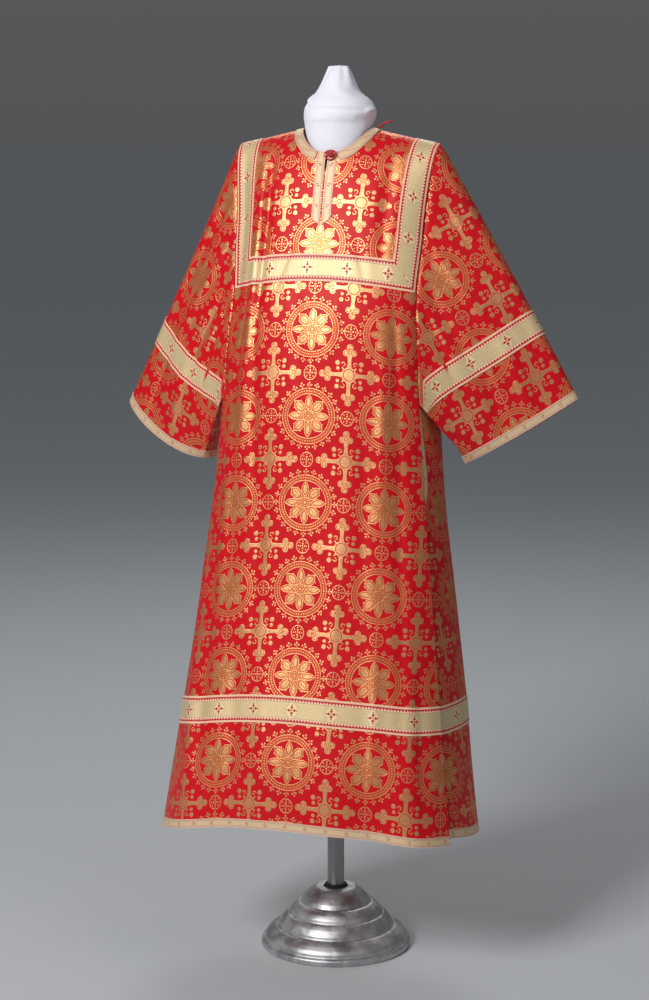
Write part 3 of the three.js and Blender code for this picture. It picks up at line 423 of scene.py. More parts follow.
class Field:
    """A number that the shader works out at every point. Operators add Math nodes."""

    def __init__(self, tree, socket):
        self.tree = tree
        self.socket = socket

    def math(self, operation, *others):
        node = self.tree.nodes.new("ShaderNodeMath")
        node.operation = operation
        for socket, value in zip(node.inputs, (self, *others)):
            if isinstance(value, Field):
                self.tree.links.new(value.socket, socket)
            else:
                socket.default_value = value
        return Field(self.tree, node.outputs[0])

    def __add__(self, other): return self.math("ADD", other)
    def __radd__(self, other): return self.math("ADD", other)
    def __sub__(self, other): return self.math("SUBTRACT", other)
    def __rsub__(self, other): return self.math("MULTIPLY_ADD", -1.0, other)
    def __mul__(self, other): return self.math("MULTIPLY", other)
    def __rmul__(self, other): return self.math("MULTIPLY", other)
    def __truediv__(self, other): return self.math("DIVIDE", other)
    def __abs__(self): return self.math("ABSOLUTE")
    def low(self, other): return self.math("MINIMUM", other)
    def high(self, other): return self.math("MAXIMUM", other)
    def wrap(self, half): return self.math("WRAP", half, -half)
    def sine(self): return self.math("SINE")

    def below(self, edge, soft=0.5):
        """1 where the number is under the edge, 0 above, with a soft step between."""
        node = self.tree.nodes.new("ShaderNodeMapRange")
        node.interpolation_type = "SMOOTHSTEP"
        self.tree.links.new(self.socket, node.inputs["Value"])
        node.inputs["From Min"].default_value = edge + soft
        node.inputs["From Max"].default_value = edge - soft
        return Field(self.tree, node.outputs["Result"])

    def line(self, at, half, soft=0.4):
        """1 within half of a value, such as a ring of that radius."""
        return abs(self - at).below(half, soft)


def away(x, y):
    """The distance from the origin."""
    return (x * x + y * y).math("SQRT")


class Paint:
    """A material's node tree with its Principled shader and the few nodes all of them use."""

    def __init__(self, name, color, roughness, **sockets):
        self.material = bpy.data.materials.new(name)
        self.material.use_nodes = True
        self.tree = self.material.node_tree
        self.shader = self.tree.nodes["Principled BSDF"]
        self.set("Base Color", (*color, 1))
        self.set("Roughness", roughness)
        for socket, value in sockets.items():
            self.set(socket.replace("_", " "), value)

    def set(self, name, value):
        """A constant goes on the shader's own socket, and a field is linked to it."""
        if isinstance(value, Field):
            self.tree.links.new(value.socket, self.shader.inputs[name])
        else:
            self.shader.inputs[name].default_value = value

    def coordinates(self, output="UV", scale=1000.0):
        """The three coordinates, in mm."""
        source = self.tree.nodes.new("ShaderNodeTexCoord")
        split = self.tree.nodes.new("ShaderNodeSeparateXYZ")
        self.tree.links.new(source.outputs[output], split.inputs[0])
        return [Field(self.tree, s) * scale for s in split.outputs]

    def noise(self, scale, detail=2.0, x=None, y=None, z=None, roughness=0.5):
        """Smooth noise with scale features to the metre, stretched where axes are given."""
        node = self.tree.nodes.new("ShaderNodeTexNoise")
        node.inputs["Scale"].default_value = scale
        node.inputs["Detail"].default_value = detail
        node.inputs["Roughness"].default_value = roughness
        if x is None:
            source = self.tree.nodes.new("ShaderNodeTexCoord")
            self.tree.links.new(source.outputs["Object"], node.inputs["Vector"])
        else:
            join = self.tree.nodes.new("ShaderNodeCombineXYZ")
            for socket, value in zip(join.inputs, (x, y, z)):
                if value is not None:
                    self.tree.links.new(value.socket, socket)
            self.tree.links.new(join.outputs[0], node.inputs["Vector"])
        return Field(self.tree, node.outputs[0])

    def blend(self, share, first, second):
        """The first colour where share is 0 and the second where it is 1."""
        node = self.tree.nodes.new("ShaderNodeMix")
        node.data_type = "RGBA"
        self.tree.links.new(share.socket, node.inputs[0])
        for socket, color in ((node.inputs[6], first), (node.inputs[7], second)):
            if isinstance(color, Field):
                self.tree.links.new(color.socket, socket)
            else:
                socket.default_value = (*color, 1)
        return Field(self.tree, node.outputs[2])

    def bump(self, height, distance, strength=1.0):
        """Relief of the surface: height from 0 to 1 times a distance in metres."""
        node = self.tree.nodes.new("ShaderNodeBump")
        node.inputs["Distance"].default_value = distance
        node.inputs["Strength"].default_value = strength
        self.tree.links.new(height.socket, node.inputs["Height"])
        self.tree.links.new(node.outputs[0], self.shader.inputs["Normal"])


# ---- Button and cord loops ------------------------------------------------------------
# A ball button wound with red cord closes the neck. A short loop of the same cord, sewn to
# the other lip, passes round it, and a second loop stands up at the left shoulder seam.

CORD_DIAMETER = 3.0
CORD_PLIES, CORD_LAY = 3, 7.0      # plies, and the length in which they turn once
LAID_ON = 1.35          # top of a galloon above the cloth it is sewn to
# Place across, place below the neck edge, and height above the galloon, point by point.
BUTTON_LOOP_ROUTE = (
    (-5, 4.5, 2.2), (-2.5, 3.6, 2.4), (0.5, 1.4, 3.4), (4.5, -0.4, 4.4), (10, -0.6, 4.6), (15.6, 3, 4.2),
    (17.6, 9, 3.6), (14.6, 15.4, 3.2), (8, 18, 3), (1.5, 15.6, 2.8), (-2, 11.4, 2.4), (-5, 9, 2.2),
)


def above_slit(x, below, lift):
    """A point beside the slit: at a place across the front, below the neck edge, lifted off
    the galloon along the cloth's normal."""
    share = np.array([x / level("edge", CHEST)])
    edge = front(0.0, neck_level(front, np.array([0.0]))[0])[2]
    low, high = float(CHEST), neck_level(front, share)[0]
    for _ in range(20):
        middle = (low + high) / 2
        under = front(share, np.array([middle]))[0, 2] < edge - below
        low, high = (middle, high) if under else (low, middle)
    return raised(front, share, np.array([low]), 0.004, 1.0, np.array([LAID_ON + lift]))[0]


def smooth_path(points, count):
    """A Catmull-Rom curve through given points, at even steps of its parameter."""
    points = np.asarray(points, float)
    padded = np.vstack([2 * points[0] - points[1], points, 2 * points[-1] - points[-2]])
    s = np.linspace(0, len(points) - 1 - 1e-9, count)
    i = s.astype(int)
    t = (s - i)[:, None]
    a, b, c, d = padded[i], padded[i + 1], padded[i + 2], padded[i + 3]
    return 0.5 * (2 * b + (c - a) * t + (2 * a - 5 * b + 4 * c - d) * t**2
                  + (3 * b - a - 3 * c + d) * t**3)


def cord_mesh(name, path, around=20):
    """A twisted cord: circles carried along a path on a frame that never flips, with the
    radius swelling round each of its plies, which turn once in a lay length."""
    radius = CORD_DIAMETER / 2
    tangent = np.gradient(path, axis=0)
    tangent /= np.linalg.norm(tangent, axis=1, keepdims=True)
    side = across(tangent, np.broadcast_to([0.3, -0.9, 0.3], tangent.shape))
    upper = across(side, tangent)
    travelled = lengths(path[None], 1)[0]
    turn = np.linspace(0, 2 * np.pi, around, endpoint=False)
    twist = 2 * np.pi * travelled[:, None] / CORD_LAY
    swell = radius * (0.90 + 0.10 * np.abs(np.cos(CORD_PLIES * (turn - twist) / 2)))
    from_end = np.minimum(travelled, travelled[-1] - travelled)
    taper = np.clip(from_end / radius + 0.25, 0, 1)[:, None] ** 0.5
    reach = (swell * taper)[..., None]
    points = path[:, None] + reach * (np.cos(turn)[None, :, None] * side[:, None]
                                      + np.sin(turn)[None, :, None] * upper[:, None])
    flat_turn = np.linspace(0, 2 * np.pi * radius, around + 1)
    flat = np.stack(np.broadcast_arrays(travelled[:, None], flat_turn[None]), -1)
    return sheet_mesh(name, points, flat, wrapped=True)


def close_ends(piece):
    """Fills the open ends of a tube."""
    shell = bmesh.new()
    shell.from_mesh(piece.data)
    open_edges = [edge for edge in shell.edges if edge.is_boundary]
    bmesh.ops.holes_fill(shell, edges=open_edges, sides=0)
    bmesh.ops.recalc_face_normals(shell, faces=shell.faces)
    shell.to_mesh(piece.data)
    shell.free()
    piece.data.shade_smooth()


def cord_paint():
    """Red cord: three plies whose turns catch the light, with painted shade darkening the grooves between
    them.
    """
    paint = Paint("red_cord", (0.52, 0.008, 0.02), 0.55, Sheen_Weight=0.35, Sheen_Roughness=0.4)
    along, around, _ = paint.coordinates()
    strand = (along * (2 * np.pi / CORD_LAY) - around * (2 / CORD_DIAMETER)) * (CORD_PLIES / 2)
    groove = abs(strand.math("COSINE"))
    fibre = paint.noise(900, 2, x=along * MM, y=around * MM)
    # painted shade: the colour turns deep red where the plies dip into the grooves between them
    tone = groove.below(0.35, 0.35)
    paint.set("Base Color", paint.blend(tone, (0.60, 0.010, 0.024), (0.22, 0.003, 0.010)))
    paint.bump(groove + fibre * 0.25, 0.0004, 0.8)
    return paint.material


red_cord = cord_paint()
loop_path = smooth_path([above_slit(*place) for place in BUTTON_LOOP_ROUTE], 160)
neck_loop = cord_mesh("neck_loop_cord", loop_path)
close_ends(neck_loop)
seat(neck_loop, red_cord, ["neck_loop"])
loop_path[0] * MM
loop_path * MM


def shoulder_point(x, y):
    """The point of the shoulders over a place in plan. The level is found by halving, and
    the column by correcting its share with the miss in x."""
    x, y = np.broadcast_arrays(np.asarray(x, float), np.asarray(y, float))
    forward = y < ridge_line(x)
    low, high = np.full(x.shape, float(CHEST)), np.full(x.shape, float(RIDGE))
    for _ in range(22):
        k = (low + high) / 2
        share = x / SHOULDER_HALF
        rear_share = x / SHOULDER_HALF
        for _ in range(4):
            share = share + (x - front(share, k)[..., 0]) / SHOULDER_HALF
            rear_share = rear_share + (x - back(degrees_of(rear_share), k)[..., 0]) / SHOULDER_HALF
        point = np.where(forward[..., None], front(share, k), back(degrees_of(rear_share), k))
        below = np.where(forward, point[..., 1] < y, point[..., 1] > y)
        low, high = np.where(below, k, low), np.where(below, high, k)
    return point


def degrees_of(share):
    """The back's angle for a share of the half shoulder."""
    sine = np.minimum(1, (np.abs(share) * BACK_FULL) ** (BACK_ROUNDNESS / 2))
    return np.sign(share) * np.degrees(np.arcsin(sine))


# Out along the shoulder, aside and up from the loop's foot, point by point.
STANDING_LOOP_ROUTE = (
    (-4, -3.2, 0), (1, -3.2, 3), (8, -3.8, 8), (16, -4.4, 11.5), (23, -3.4, 13.5), (26, 0, 14),
    (23, 3.4, 13.5), (16, 4.4, 11.5), (8, 3.8, 8), (1, 3.2, 3), (-4, 3.2, 0),
)
LOOP_FOOT = (86, 17)

foot = shoulder_point(*LOOP_FOOT) + np.array([0, 0, CORD_DIAMETER / 2 + 2.4])
standing_path = smooth_path(foot + np.array(STANDING_LOOP_ROUTE, float), 120)
shoulder_loop = cord_mesh("shoulder_loop_cord", standing_path)
close_ends(shoulder_loop)
seat(shoulder_loop, red_cord, ["shoulder_loop"])
standing_path[0] * MM
standing_path * MM

BUTTON_RADIUS = 6.5


def button_mesh():
    """A ball whose radius swells over each of its wound turns: R (1 + 0.06 |sin 5 lon'|),
    with the turns drawn slantwise by adding the latitude to the longitude."""
    middle = above_slit(8, 8, BUTTON_RADIUS * 0.85 + 0.35)
    latitude = np.linspace(-np.pi / 2, np.pi / 2, 41)[:, None]
    longitude = np.linspace(0, 2 * np.pi, 80, endpoint=False)[None]
    turns = np.abs(np.sin(5 * (longitude + 0.9 * latitude)))
    radius = BUTTON_RADIUS * (0.95 + 0.06 * turns * np.cos(latitude))
    points = np.stack([1.1 * radius * np.cos(latitude) * np.cos(longitude),
                       0.75 * radius * np.sin(latitude) + 0 * longitude,
                       radius * np.cos(latitude) * np.sin(longitude)], -1) + middle
    around = np.linspace(0, 2 * np.pi, 81)[None] * BUTTON_RADIUS
    flat = np.stack(np.broadcast_arrays(latitude * BUTTON_RADIUS, around), -1)
    return sheet_mesh("neck_button_ball", points, flat, wrapped=True)


button = button_mesh()
weld(button)
seat(button, red_cord, ["neck_button"])


# ---- Front panel ----------------------------------------------------------------------
# Brocade with a red satin ground and figures in gold thread: medallions with a flower,
# crosses between them and small roundels, on a straight grain with a medallion column on
# the centre front. One piece from hem to shoulder seams, with a faced slit at the neck.

CLOTH = 1.2
REPEAT_WIDE, REPEAT_HIGH = 161.0, 172.0
MEDALLION_LEVEL = 970         # a medallion's middle on the centre front


def leaf(x, y, at, half_long, half_wide):
    """Signed distance to a pointed leaf on the x axis, the meeting of two equal circles."""
    radius = (half_long**2 + half_wide**2) / (2 * half_wide)
    return away(x - at, y + (radius - half_wide)) - radius


def medallion(x, y):
    """Two rings with beads between, buds of three dots outside, and inside a flower of four
    pointed leaves over four broad ones. Gives the bright gold and the copper parts."""
    r = away(x, y)
    turn = y.math("ARCTAN2", x)
    a, b = x.high(y), x.low(y)
    c, d = (a + b) * 0.7071, (a - b) * 0.7071
    beads = away(r - 49.6, turn.wrap(np.pi / 60) * 49.6).below(1.45)
    bud = abs(turn.wrap(np.pi / 24)) * 62
    buds = away(r - 66.0, bud).below(1.9).high(away(r - 62.0, bud - 4.0).below(1.8))
    straight = bud.below(0.6) * r.line(60, 4.5)
    slanted = abs(bud - (r - 57.5) * 0.85).below(0.5) * r.line(59.6, 2.2)
    stalks = straight.high(slanted)
    rings = r.line(44.2, 0.8).high(r.line(55.0, 0.8))
    pointed = leaf(a, b, 27.2, 15.4, 8.0)
    broad = leaf(c, d, 26.0, 15.4, 10.4)
    pointed_gold = pointed.line(-0.9, 0.9).high(pointed.below(-4.0))
    broad_gold = broad.line(-0.9, 0.9).high(broad.below(-4.4) * (1 - d.below(0.5)))
    tips = away(c - 41.6, d).below(1.7).high(away(c - 32.5, d - 10.2).below(1.2))
    flower = pointed_gold.high(broad_gold * (1 - pointed.below(0.9))).high(tips)
    eighth = abs(turn.wrap(np.pi / 8))
    heart = r.line(10.6, 0.9).high(away(r - 6.4, eighth * 6.4).below(1.3)).high(r.below(2.3))
    gold = rings.high(beads).high(buds).high(stalks).high(flower * (1 - r.below(10.6))).high(heart)
    copper = r.below(25).high(pointed.low(broad).below(-0.9)).high(r.line(49.6, 4.6) * 0.45)
    return gold, copper


def cross(x, y):
    """A cross with an outlined three-lobed club at each end, a copper disc in its hub, and
    beads and hooks beside the hub. Gives the bright gold and the copper parts."""
    a, b = x.high(y), x.low(y)
    r = away(a, b)
    club = away(a - 43.6, b - 7.8).low(away(a - 45.5, b) + 0.6) - 6.4
    club = club.low(away(a - 54.6, b) - 6.7)
    stem = (b - 3.7 - (a - 27) * (a - 27) * 0.011).high(abs(a - 29) - 16)
    shape = club.low(stem)
    engraved = club.line(-2.5, 0.45).high(b.below(0.5) * a.line(51, 4))
    hub = r.below(15.2) * (1 - r.line(11.4, 0.7))
    thorns = ((a - b) * 0.7071).below(1.4) * r.line(17.5, 3.2)
    beads = away(x - 24.2, y - 23.6).below(4.7).high(away(x - 23.2, y - 12.4).below(3.6))
    hooks = away(x - 12.4, y - 21.4).line(3.6, 1.0) * (1 - (y - x).below(5.5))
    gold = (shape.below(0) * (1 - engraved)).high(hub).high(thorns).high(beads).high(hooks)
    return gold, r.below(8.8).high(engraved * shape.below(0))


def roundel(x, y):
    """A small upright oval ring with eight beads and a four-leaved flower."""
    r = away(x, y * 0.92)
    turn = y.math("ARCTAN2", x)
    beads = away(r - 8.9, turn.wrap(np.pi / 8) * 8.9).below(1.45)
    flower = away(r - 4.2, turn.wrap(np.pi / 4) * 4.2).below(1.9).high(r.below(1.4))
    return r.line(12.9, 0.95).high(beads).high(flower)


def brocade_paint(name, aside=0.0, along=0.0):
    """Satin ground and gold figures. The repeat is folded into one quarter: medallions at
    its corner, crosses at the opposite corner, roundels half way along its edges."""
    paint = Paint(name, (0.5, 0.01, 0.015), 0.4, Sheen_Weight=0.08, Sheen_Roughness=0.35,
                  Sheen_Tint=(1.0, 0.25, 0.2, 1), Specular_IOR_Level=0.4, Specular_Tint=(1.0, 0.4, 0.35, 1))
    u, v, _ = paint.coordinates()
    x = abs((u - aside).wrap(REPEAT_WIDE / 2))
    y = abs((v - along).wrap(REPEAT_HIGH / 2))
    medal, medal_copper = medallion(x, y)
    crossed, cross_copper = cross(REPEAT_WIDE / 2 - x, REPEAT_HIGH / 2 - y)
    beside = (x * (REPEAT_HIGH / REPEAT_WIDE)).math("GREATER_THAN", y)
    small = roundel(x + beside * (REPEAT_WIDE / 2 - 2 * x),
                    REPEAT_HIGH / 2 - y + beside * (2 * y - REPEAT_HIGH / 2))
    figure = medal.high(crossed).high(small)
    copper = medal_copper.high(cross_copper) * (1 - figure)
    weft = (v * (2 * np.pi / 1.5)).sine() * 0.5 + 0.5
    warp = (u * (2 * np.pi / 1.1)).sine() * 0.5 + 0.5
    gold_on_top = 1 - weft.below(0.30, 0.22)
    cloud = paint.noise(5.0, 3, x=u * MM, y=v * MM)
    slub = paint.noise(60.0, 3, x=u * MM, y=v * (12 * MM))
    red = paint.blend(cloud, (0.56, 0.004, 0.010), (0.66, 0.006, 0.015))
    gold = paint.blend(slub, (0.80, 0.45, 0.19), (0.92, 0.59, 0.29))
    under = paint.blend(gold_on_top, (0.52, 0.07, 0.025), gold)
    woven = paint.blend(copper * 0.9, red, (0.66, 0.19, 0.06))
    paint.set("Base Color", paint.blend(figure, woven, under))
    metal = (figure * gold_on_top).high(copper * 0.7)
    paint.set("Metallic", metal * 0.88)
    paint.set("Roughness", 0.38 + slub * 0.08 - metal * 0.04)
    paint.bump(figure * 0.7 + weft * figure * 0.25 + warp * 0.12 + slub * 0.25, 0.0003, 0.7)
    return paint.material


def measures(surface, a, b):
    """The flat cloth's measures in mm at places of a panel: along the thread line from the
    centre, in 24 steps at one level, and up the centre line from the hem."""
    steps = np.linspace(0, 1, 25).reshape((25,) + (1,) * np.ndim(a))
    line = surface(a[None] * steps, np.broadcast_to(b, a.shape)[None] + 0 * steps)
    u = np.sign(a) * np.linalg.norm(np.diff(line, axis=0), axis=-1).sum(0)
    levels = np.linspace(HEM, RIDGE, 500)
    climb = lengths(surface(np.zeros(500), levels)[None], 1)[0]
    return np.stack([u, np.interp(b, levels, climb) + 0 * u], -1)


def panel_rows(breaks, tops, upper_rows):
    """Levels of a panel's rows: even steps between the breaks, then up to each column's top
    with steps that shorten towards it."""
    fixed = np.unique(np.concatenate([np.linspace(a, b, n) for a, b, n in breaks]))
    share = np.linspace(0, 1, upper_rows + 1)[1:, None]
    upper = CHEST + (tops[None] - CHEST) * (1 - (1 - share) ** 1.25)
    return np.concatenate([np.broadcast_to(fixed[:, None], (len(fixed), len(tops))), upper])


SLIT_BOTTOM = 1517
SLIT_TOP = 1680


def slit_opening(z):
    """Half width of the neck slit at a height: a narrow line that opens below the button."""
    bottom = front(0.0, float(SLIT_BOTTOM))[2]
    t = np.clip((z - bottom) / (SLIT_TOP - bottom), 0, 1)
    return 0.7 * np.minimum(1, 8 * t) + 1.3 * np.exp(-(((t - 0.72) / 0.12) ** 2))


def front_panel():
    half = np.linspace(0, 1, 66)
    f = np.concatenate([-half[::-1], half])
    tops = neck_level(front, f)
    k = panel_rows(((HEM, UNDERARM, 138), (UNDERARM, CHEST, 53)), tops, 46)
    f = np.broadcast_to(f, k.shape)
    points = front_cloth(f, k)
    flat = measures(front, f, k)
    middle = len(half)
    opening = np.where(k[:, middle] > SLIT_BOTTOM, slit_opening(points[:, middle, 2]), 0)
    points[:, middle, 0] += opening
    points[:, middle - 1, 0] -= opening
    return sheet_mesh("front_panel", points, flat, keep=lambda i, j: j != middle - 1)


front_climb = measures(front, np.zeros(1), np.array([float(MEDALLION_LEVEL)]))[0, 1]
front_brocade = brocade_paint("brocade_front", along=front_climb)
front_piece = finish_cloth(front_panel(), CLOTH, front_brocade, ["front"], merge=True)


# ---- Back panel -----------------------------------------------------------------------
# The back is cut wider than the front below the armholes, and its side edges pass behind
# the front's, open as side slits down to the hip.

def back_panel():
    wing = np.linspace(BACK_ARMHOLE, BACK_WRAP, 28)[1:]
    between = np.linspace(-BACK_ARMHOLE, BACK_ARMHOLE, 93)
    angle = np.concatenate([-wing[::-1], between, wing])
    seated = np.abs(angle) <= BACK_ARMHOLE
    tops = np.where(seated, neck_level(back, np.where(seated, angle, 0)), RIDGE)
    skirt_rows = 128
    k = panel_rows(((HEM, UNDERARM, skirt_rows), (UNDERARM, CHEST, 49)), tops, 42)
    angle = np.broadcast_to(angle, k.shape)
    points = back_cloth(angle, k)
    flat = measures(back, angle, k)
    flat[..., 0] *= -1

    def below_underarm_or_between(i, j):
        return (i < skirt_rows - 1) | ((j >= len(wing)) & (j < len(wing) + len(between) - 1))

    return sheet_mesh("back_panel", points, flat, keep=below_underarm_or_between)


back_climb = measures(back, np.zeros(1), np.array([float(MEDALLION_LEVEL)]))[0, 1]
back_brocade = brocade_paint("brocade_back", along=back_climb)
back_piece = finish_cloth(back_panel(), CLOTH, back_brocade, ["back"])


# ---- Sleeves --------------------------------------------------------------------------
# Each sleeve is one straight piece folded along its top, sewn to the armhole from the
# shoulder seam down to the underarm, and hangs as a flat oval tube that opens at the cuff.

SLEEVES = {
    "left": dict(side=1, outer=(499, 30, 1174), inner=(275, 8, 1037), open=30, swell=2, dip=6,
                 aside=-18, along=-8),
    "right": dict(side=-1, outer=(-472, 30, 1136), inner=(-272, 2, 1026), open=44, swell=-3, dip=24,
                  aside=80, along=-24),
}
SEAM = 0.35
UNDERARM_EASE = 2.8
SLEEVE_FOLD_SCALE = 1.3       # all the sleeves' small folds are this much deeper
SIDE_PART = 0.42              # share of the armhole along each panel's edge
# Small folds of the sleeves: place round the sleeve from its top fold, in front (+) and
# behind (-), lean, height above the cuff, reach, spread and rise.
SLEEVE_CREASES = {
    "left": ((70, 0.10, 420, 150, 13, -4), (120, 0.16, 330, 140, 12, 4), (175, 0.1, 250, 120, 11, -4.5),
             (40, 0.02, 250, 150, 14, -2.5), (95, -0.05, 100, 90, 16, 3), (160, -0.1, 80, 80, 13, -3),
             (210, 0.0, 300, 160, 9, -4), (-60, 0.08, 380, 160, 13, -4), (-110, 0.12, 260, 150, 13, 4),
             (-165, 0.05, 160, 120, 12, -4), (-205, 0.0, 320, 150, 10, -4)),
    "right": ((60, 0.1, 400, 140, 12, -4), (105, 0.14, 300, 130, 12, 4.5), (160, 0.08, 230, 120, 11, -4),
              (35, 0.0, 220, 130, 13, 2.5), (85, -0.08, 90, 80, 14, -3.5), (150, -0.1, 70, 80, 13, 4),
              (195, 0.0, 280, 150, 9, -4), (-55, 0.06, 360, 150, 12, -4), (-105, 0.1, 250, 150, 12, 4),
              (-150, 0.05, 150, 120, 12, -4), (-195, 0.0, 300, 150, 10, 4)),
}


def armhole(side, share):
    """The armhole line: down the front edge, across the underarm on the body's oval, up the
    back edge, with 0 at the shoulder seam, 0.5 at the underarm and 1 at the seam again."""
    top, bottom = RIDGE - SEAM, UNDERARM + SEAM
    down = np.clip(share / SIDE_PART, 0, 1)
    up = np.clip((1 - share) / SIDE_PART, 0, 1)
    along_front = front(side + 0 * share, top + (bottom - top) * down)
    along_back = back(side * BACK_ARMHOLE + 0 * share, top + (bottom - top) * up)
    ends = [front(side, UNDERARM), back(side * BACK_ARMHOLE, UNDERARM)]
    turns = [np.degrees(np.arctan2(abs(p[0]), level("middle", p[2]) - p[1])) for p in ends]
    t = np.clip((share - SIDE_PART) / (1 - 2 * SIDE_PART), 0, 1)
    height = ends[0][2]
    under = ring(side * (turns[0] + (turns[1] - turns[0]) * t), height + 0 * t)
    outwards = under - np.array([0, level("middle", height), height])
    outwards /= np.linalg.norm(outwards, axis=-1, keepdims=True)
    under = under + outwards * (UNDERARM_EASE * np.sqrt(np.sin(np.pi * t)))[..., None]
    under[..., 2] += SEAM
    below = ((share >= SIDE_PART) & (share <= 1 - SIDE_PART))[..., None]
    return np.where(below, under, np.where((share < SIDE_PART)[..., None], along_front, along_back))


def sleeve_point(sleeve, share, t):
    """Straight lines from the armhole (t = 0) to the cuff (t = 1), a flat oval between its
    outer and inner corner, with a slight belly half way."""
    share, t = np.broadcast_arrays(share, t)
    share = share % 1
    root = armhole(sleeve["side"], share)
    root[..., 0] += sleeve["side"] * 2 * SEAM
    turn = 2 * np.pi * share
    inner, outer = np.array(sleeve["inner"], float), np.array(sleeve["outer"], float)
    over = (1 + signed_power(np.cos(turn), 0.9)) / 2
    cuff = inner + (outer - inner) * over[..., None]
    cuff[..., 1] -= sleeve["open"] * signed_power(np.sin(turn), 0.8)
    cuff[..., 2] -= sleeve["dip"] * np.sin(turn) ** 2
    point = root + (cuff - root) * t[..., None]
    outerness = np.maximum(0, np.cos(turn)) ** 2
    belly = np.sin(np.pi * np.clip(t, 0, 1)) ** 1.2
    point[..., 0] += sleeve["side"] * sleeve["swell"] * belly * outerness
    point[..., 2] += sleeve["swell"] * 0.4 * belly * outerness
    point[..., 1] -= 10 * belly * np.sin(turn)
    return point


def sleeve_measures(sleeve, points):
    """Flat measures on whole rings of a sleeve: round it from the top fold, in the plane
    square to its axis, and along the axis up from the cuff's line."""
    corner = np.array(sleeve["outer"], float)
    line = corner - np.array(sleeve["inner"], float)
    line = line * (1, 0, 1) / np.hypot(line[0], line[2])
    axis = np.array([-sleeve["side"] * abs(line[2]), 0, abs(line[0])])
    plan = np.stack([points @ line, points[..., 1], 0 * points[..., 0]], -1)
    around = lengths(plan, 1)
    middle = points.shape[1] // 2
    return np.stack([around - around[:, [middle]], (points - corner) @ axis], -1)


def sleeve_cloth(key, share, t, lift=0.0):
    """Whole rings of a sleeve with its small folds, moved out by a lift; also the flat
    measures. The folds fade out at the seam and at the cuff's edge."""
    sleeve = SLEEVES[key]
    surface = lambda a, b: sleeve_point(sleeve, a, b)
    flat = sleeve_measures(sleeve, surface(share, t))
    facing = sleeve["side"]
    rise = SLEEVE_FOLD_SCALE * creases(SLEEVE_CREASES[key], flat[..., 0], flat[..., 1])
    quiet = smooth(t, 0.02, 0.16) * (1 - 0.5 * smooth(t, 0.9, 1))
    tuck = SEAM_DIP * np.exp(-((t / 0.012) ** 2))
    points = raised(surface, share, t, 0.002, 0.004, facing * (rise * quiet - tuck + lift))
    return points, flat


RING = np.linspace(0.5, 1.5, 169)


def sleeve_sheet(name, key, t, lift=0.0, flat_of=None):
    """A closed ring of sleeve cloth between rows of t for each column of the ring."""
    points, flat = sleeve_cloth(key, np.broadcast_to(RING, t.shape), t, lift)
    if flat_of is not None:
        flat = flat_of(flat)
    return sheet_mesh(name, points[:, :-1], flat, wrapped=True)


def above_cuff(key, distance):
    """t of the ring's columns at a distance above the cuff edge."""
    surface = lambda t: sleeve_point(SLEEVES[key], RING, np.full(RING.shape, t))
    long = np.linalg.norm(surface(0.0) - surface(1.0), axis=-1)
    return np.maximum(0.08, 1 - distance / long)


for key, sleeve in SLEEVES.items():
    rows = np.linspace(0, 1, 101)[:, None] + 0 * RING[None]
    paint = brocade_paint(f"brocade_sleeve_{key}", sleeve["aside"], sleeve["along"])
    tube = sleeve_sheet(f"sleeve_{key}_cloth", key, rows)
    finish_cloth(tube, CLOTH, paint, [f"sleeve_{key}"])


# ---- Wide galloon ---------------------------------------------------------------------
# A 54 mm gold galloon frames the yoke in front and behind, with mitred corners, and runs
# round the skirt and the sleeves. It is woven with a toothed red line inside each edge.

WIDE = 54
BRAID = 1.0
YOKE_BOTTOM, SKIRT_BAND_BOTTOM, CUFF_TO_BAND = 1405, 538, 145
CROSS_SPACING = 83            # from one woven cross to the next
# Where the weave starts on the yoke's strips, how much later on each side, and on its band.
STRIP_START, STRIP_SIDE_START, BAND_START = 8, 22, 20


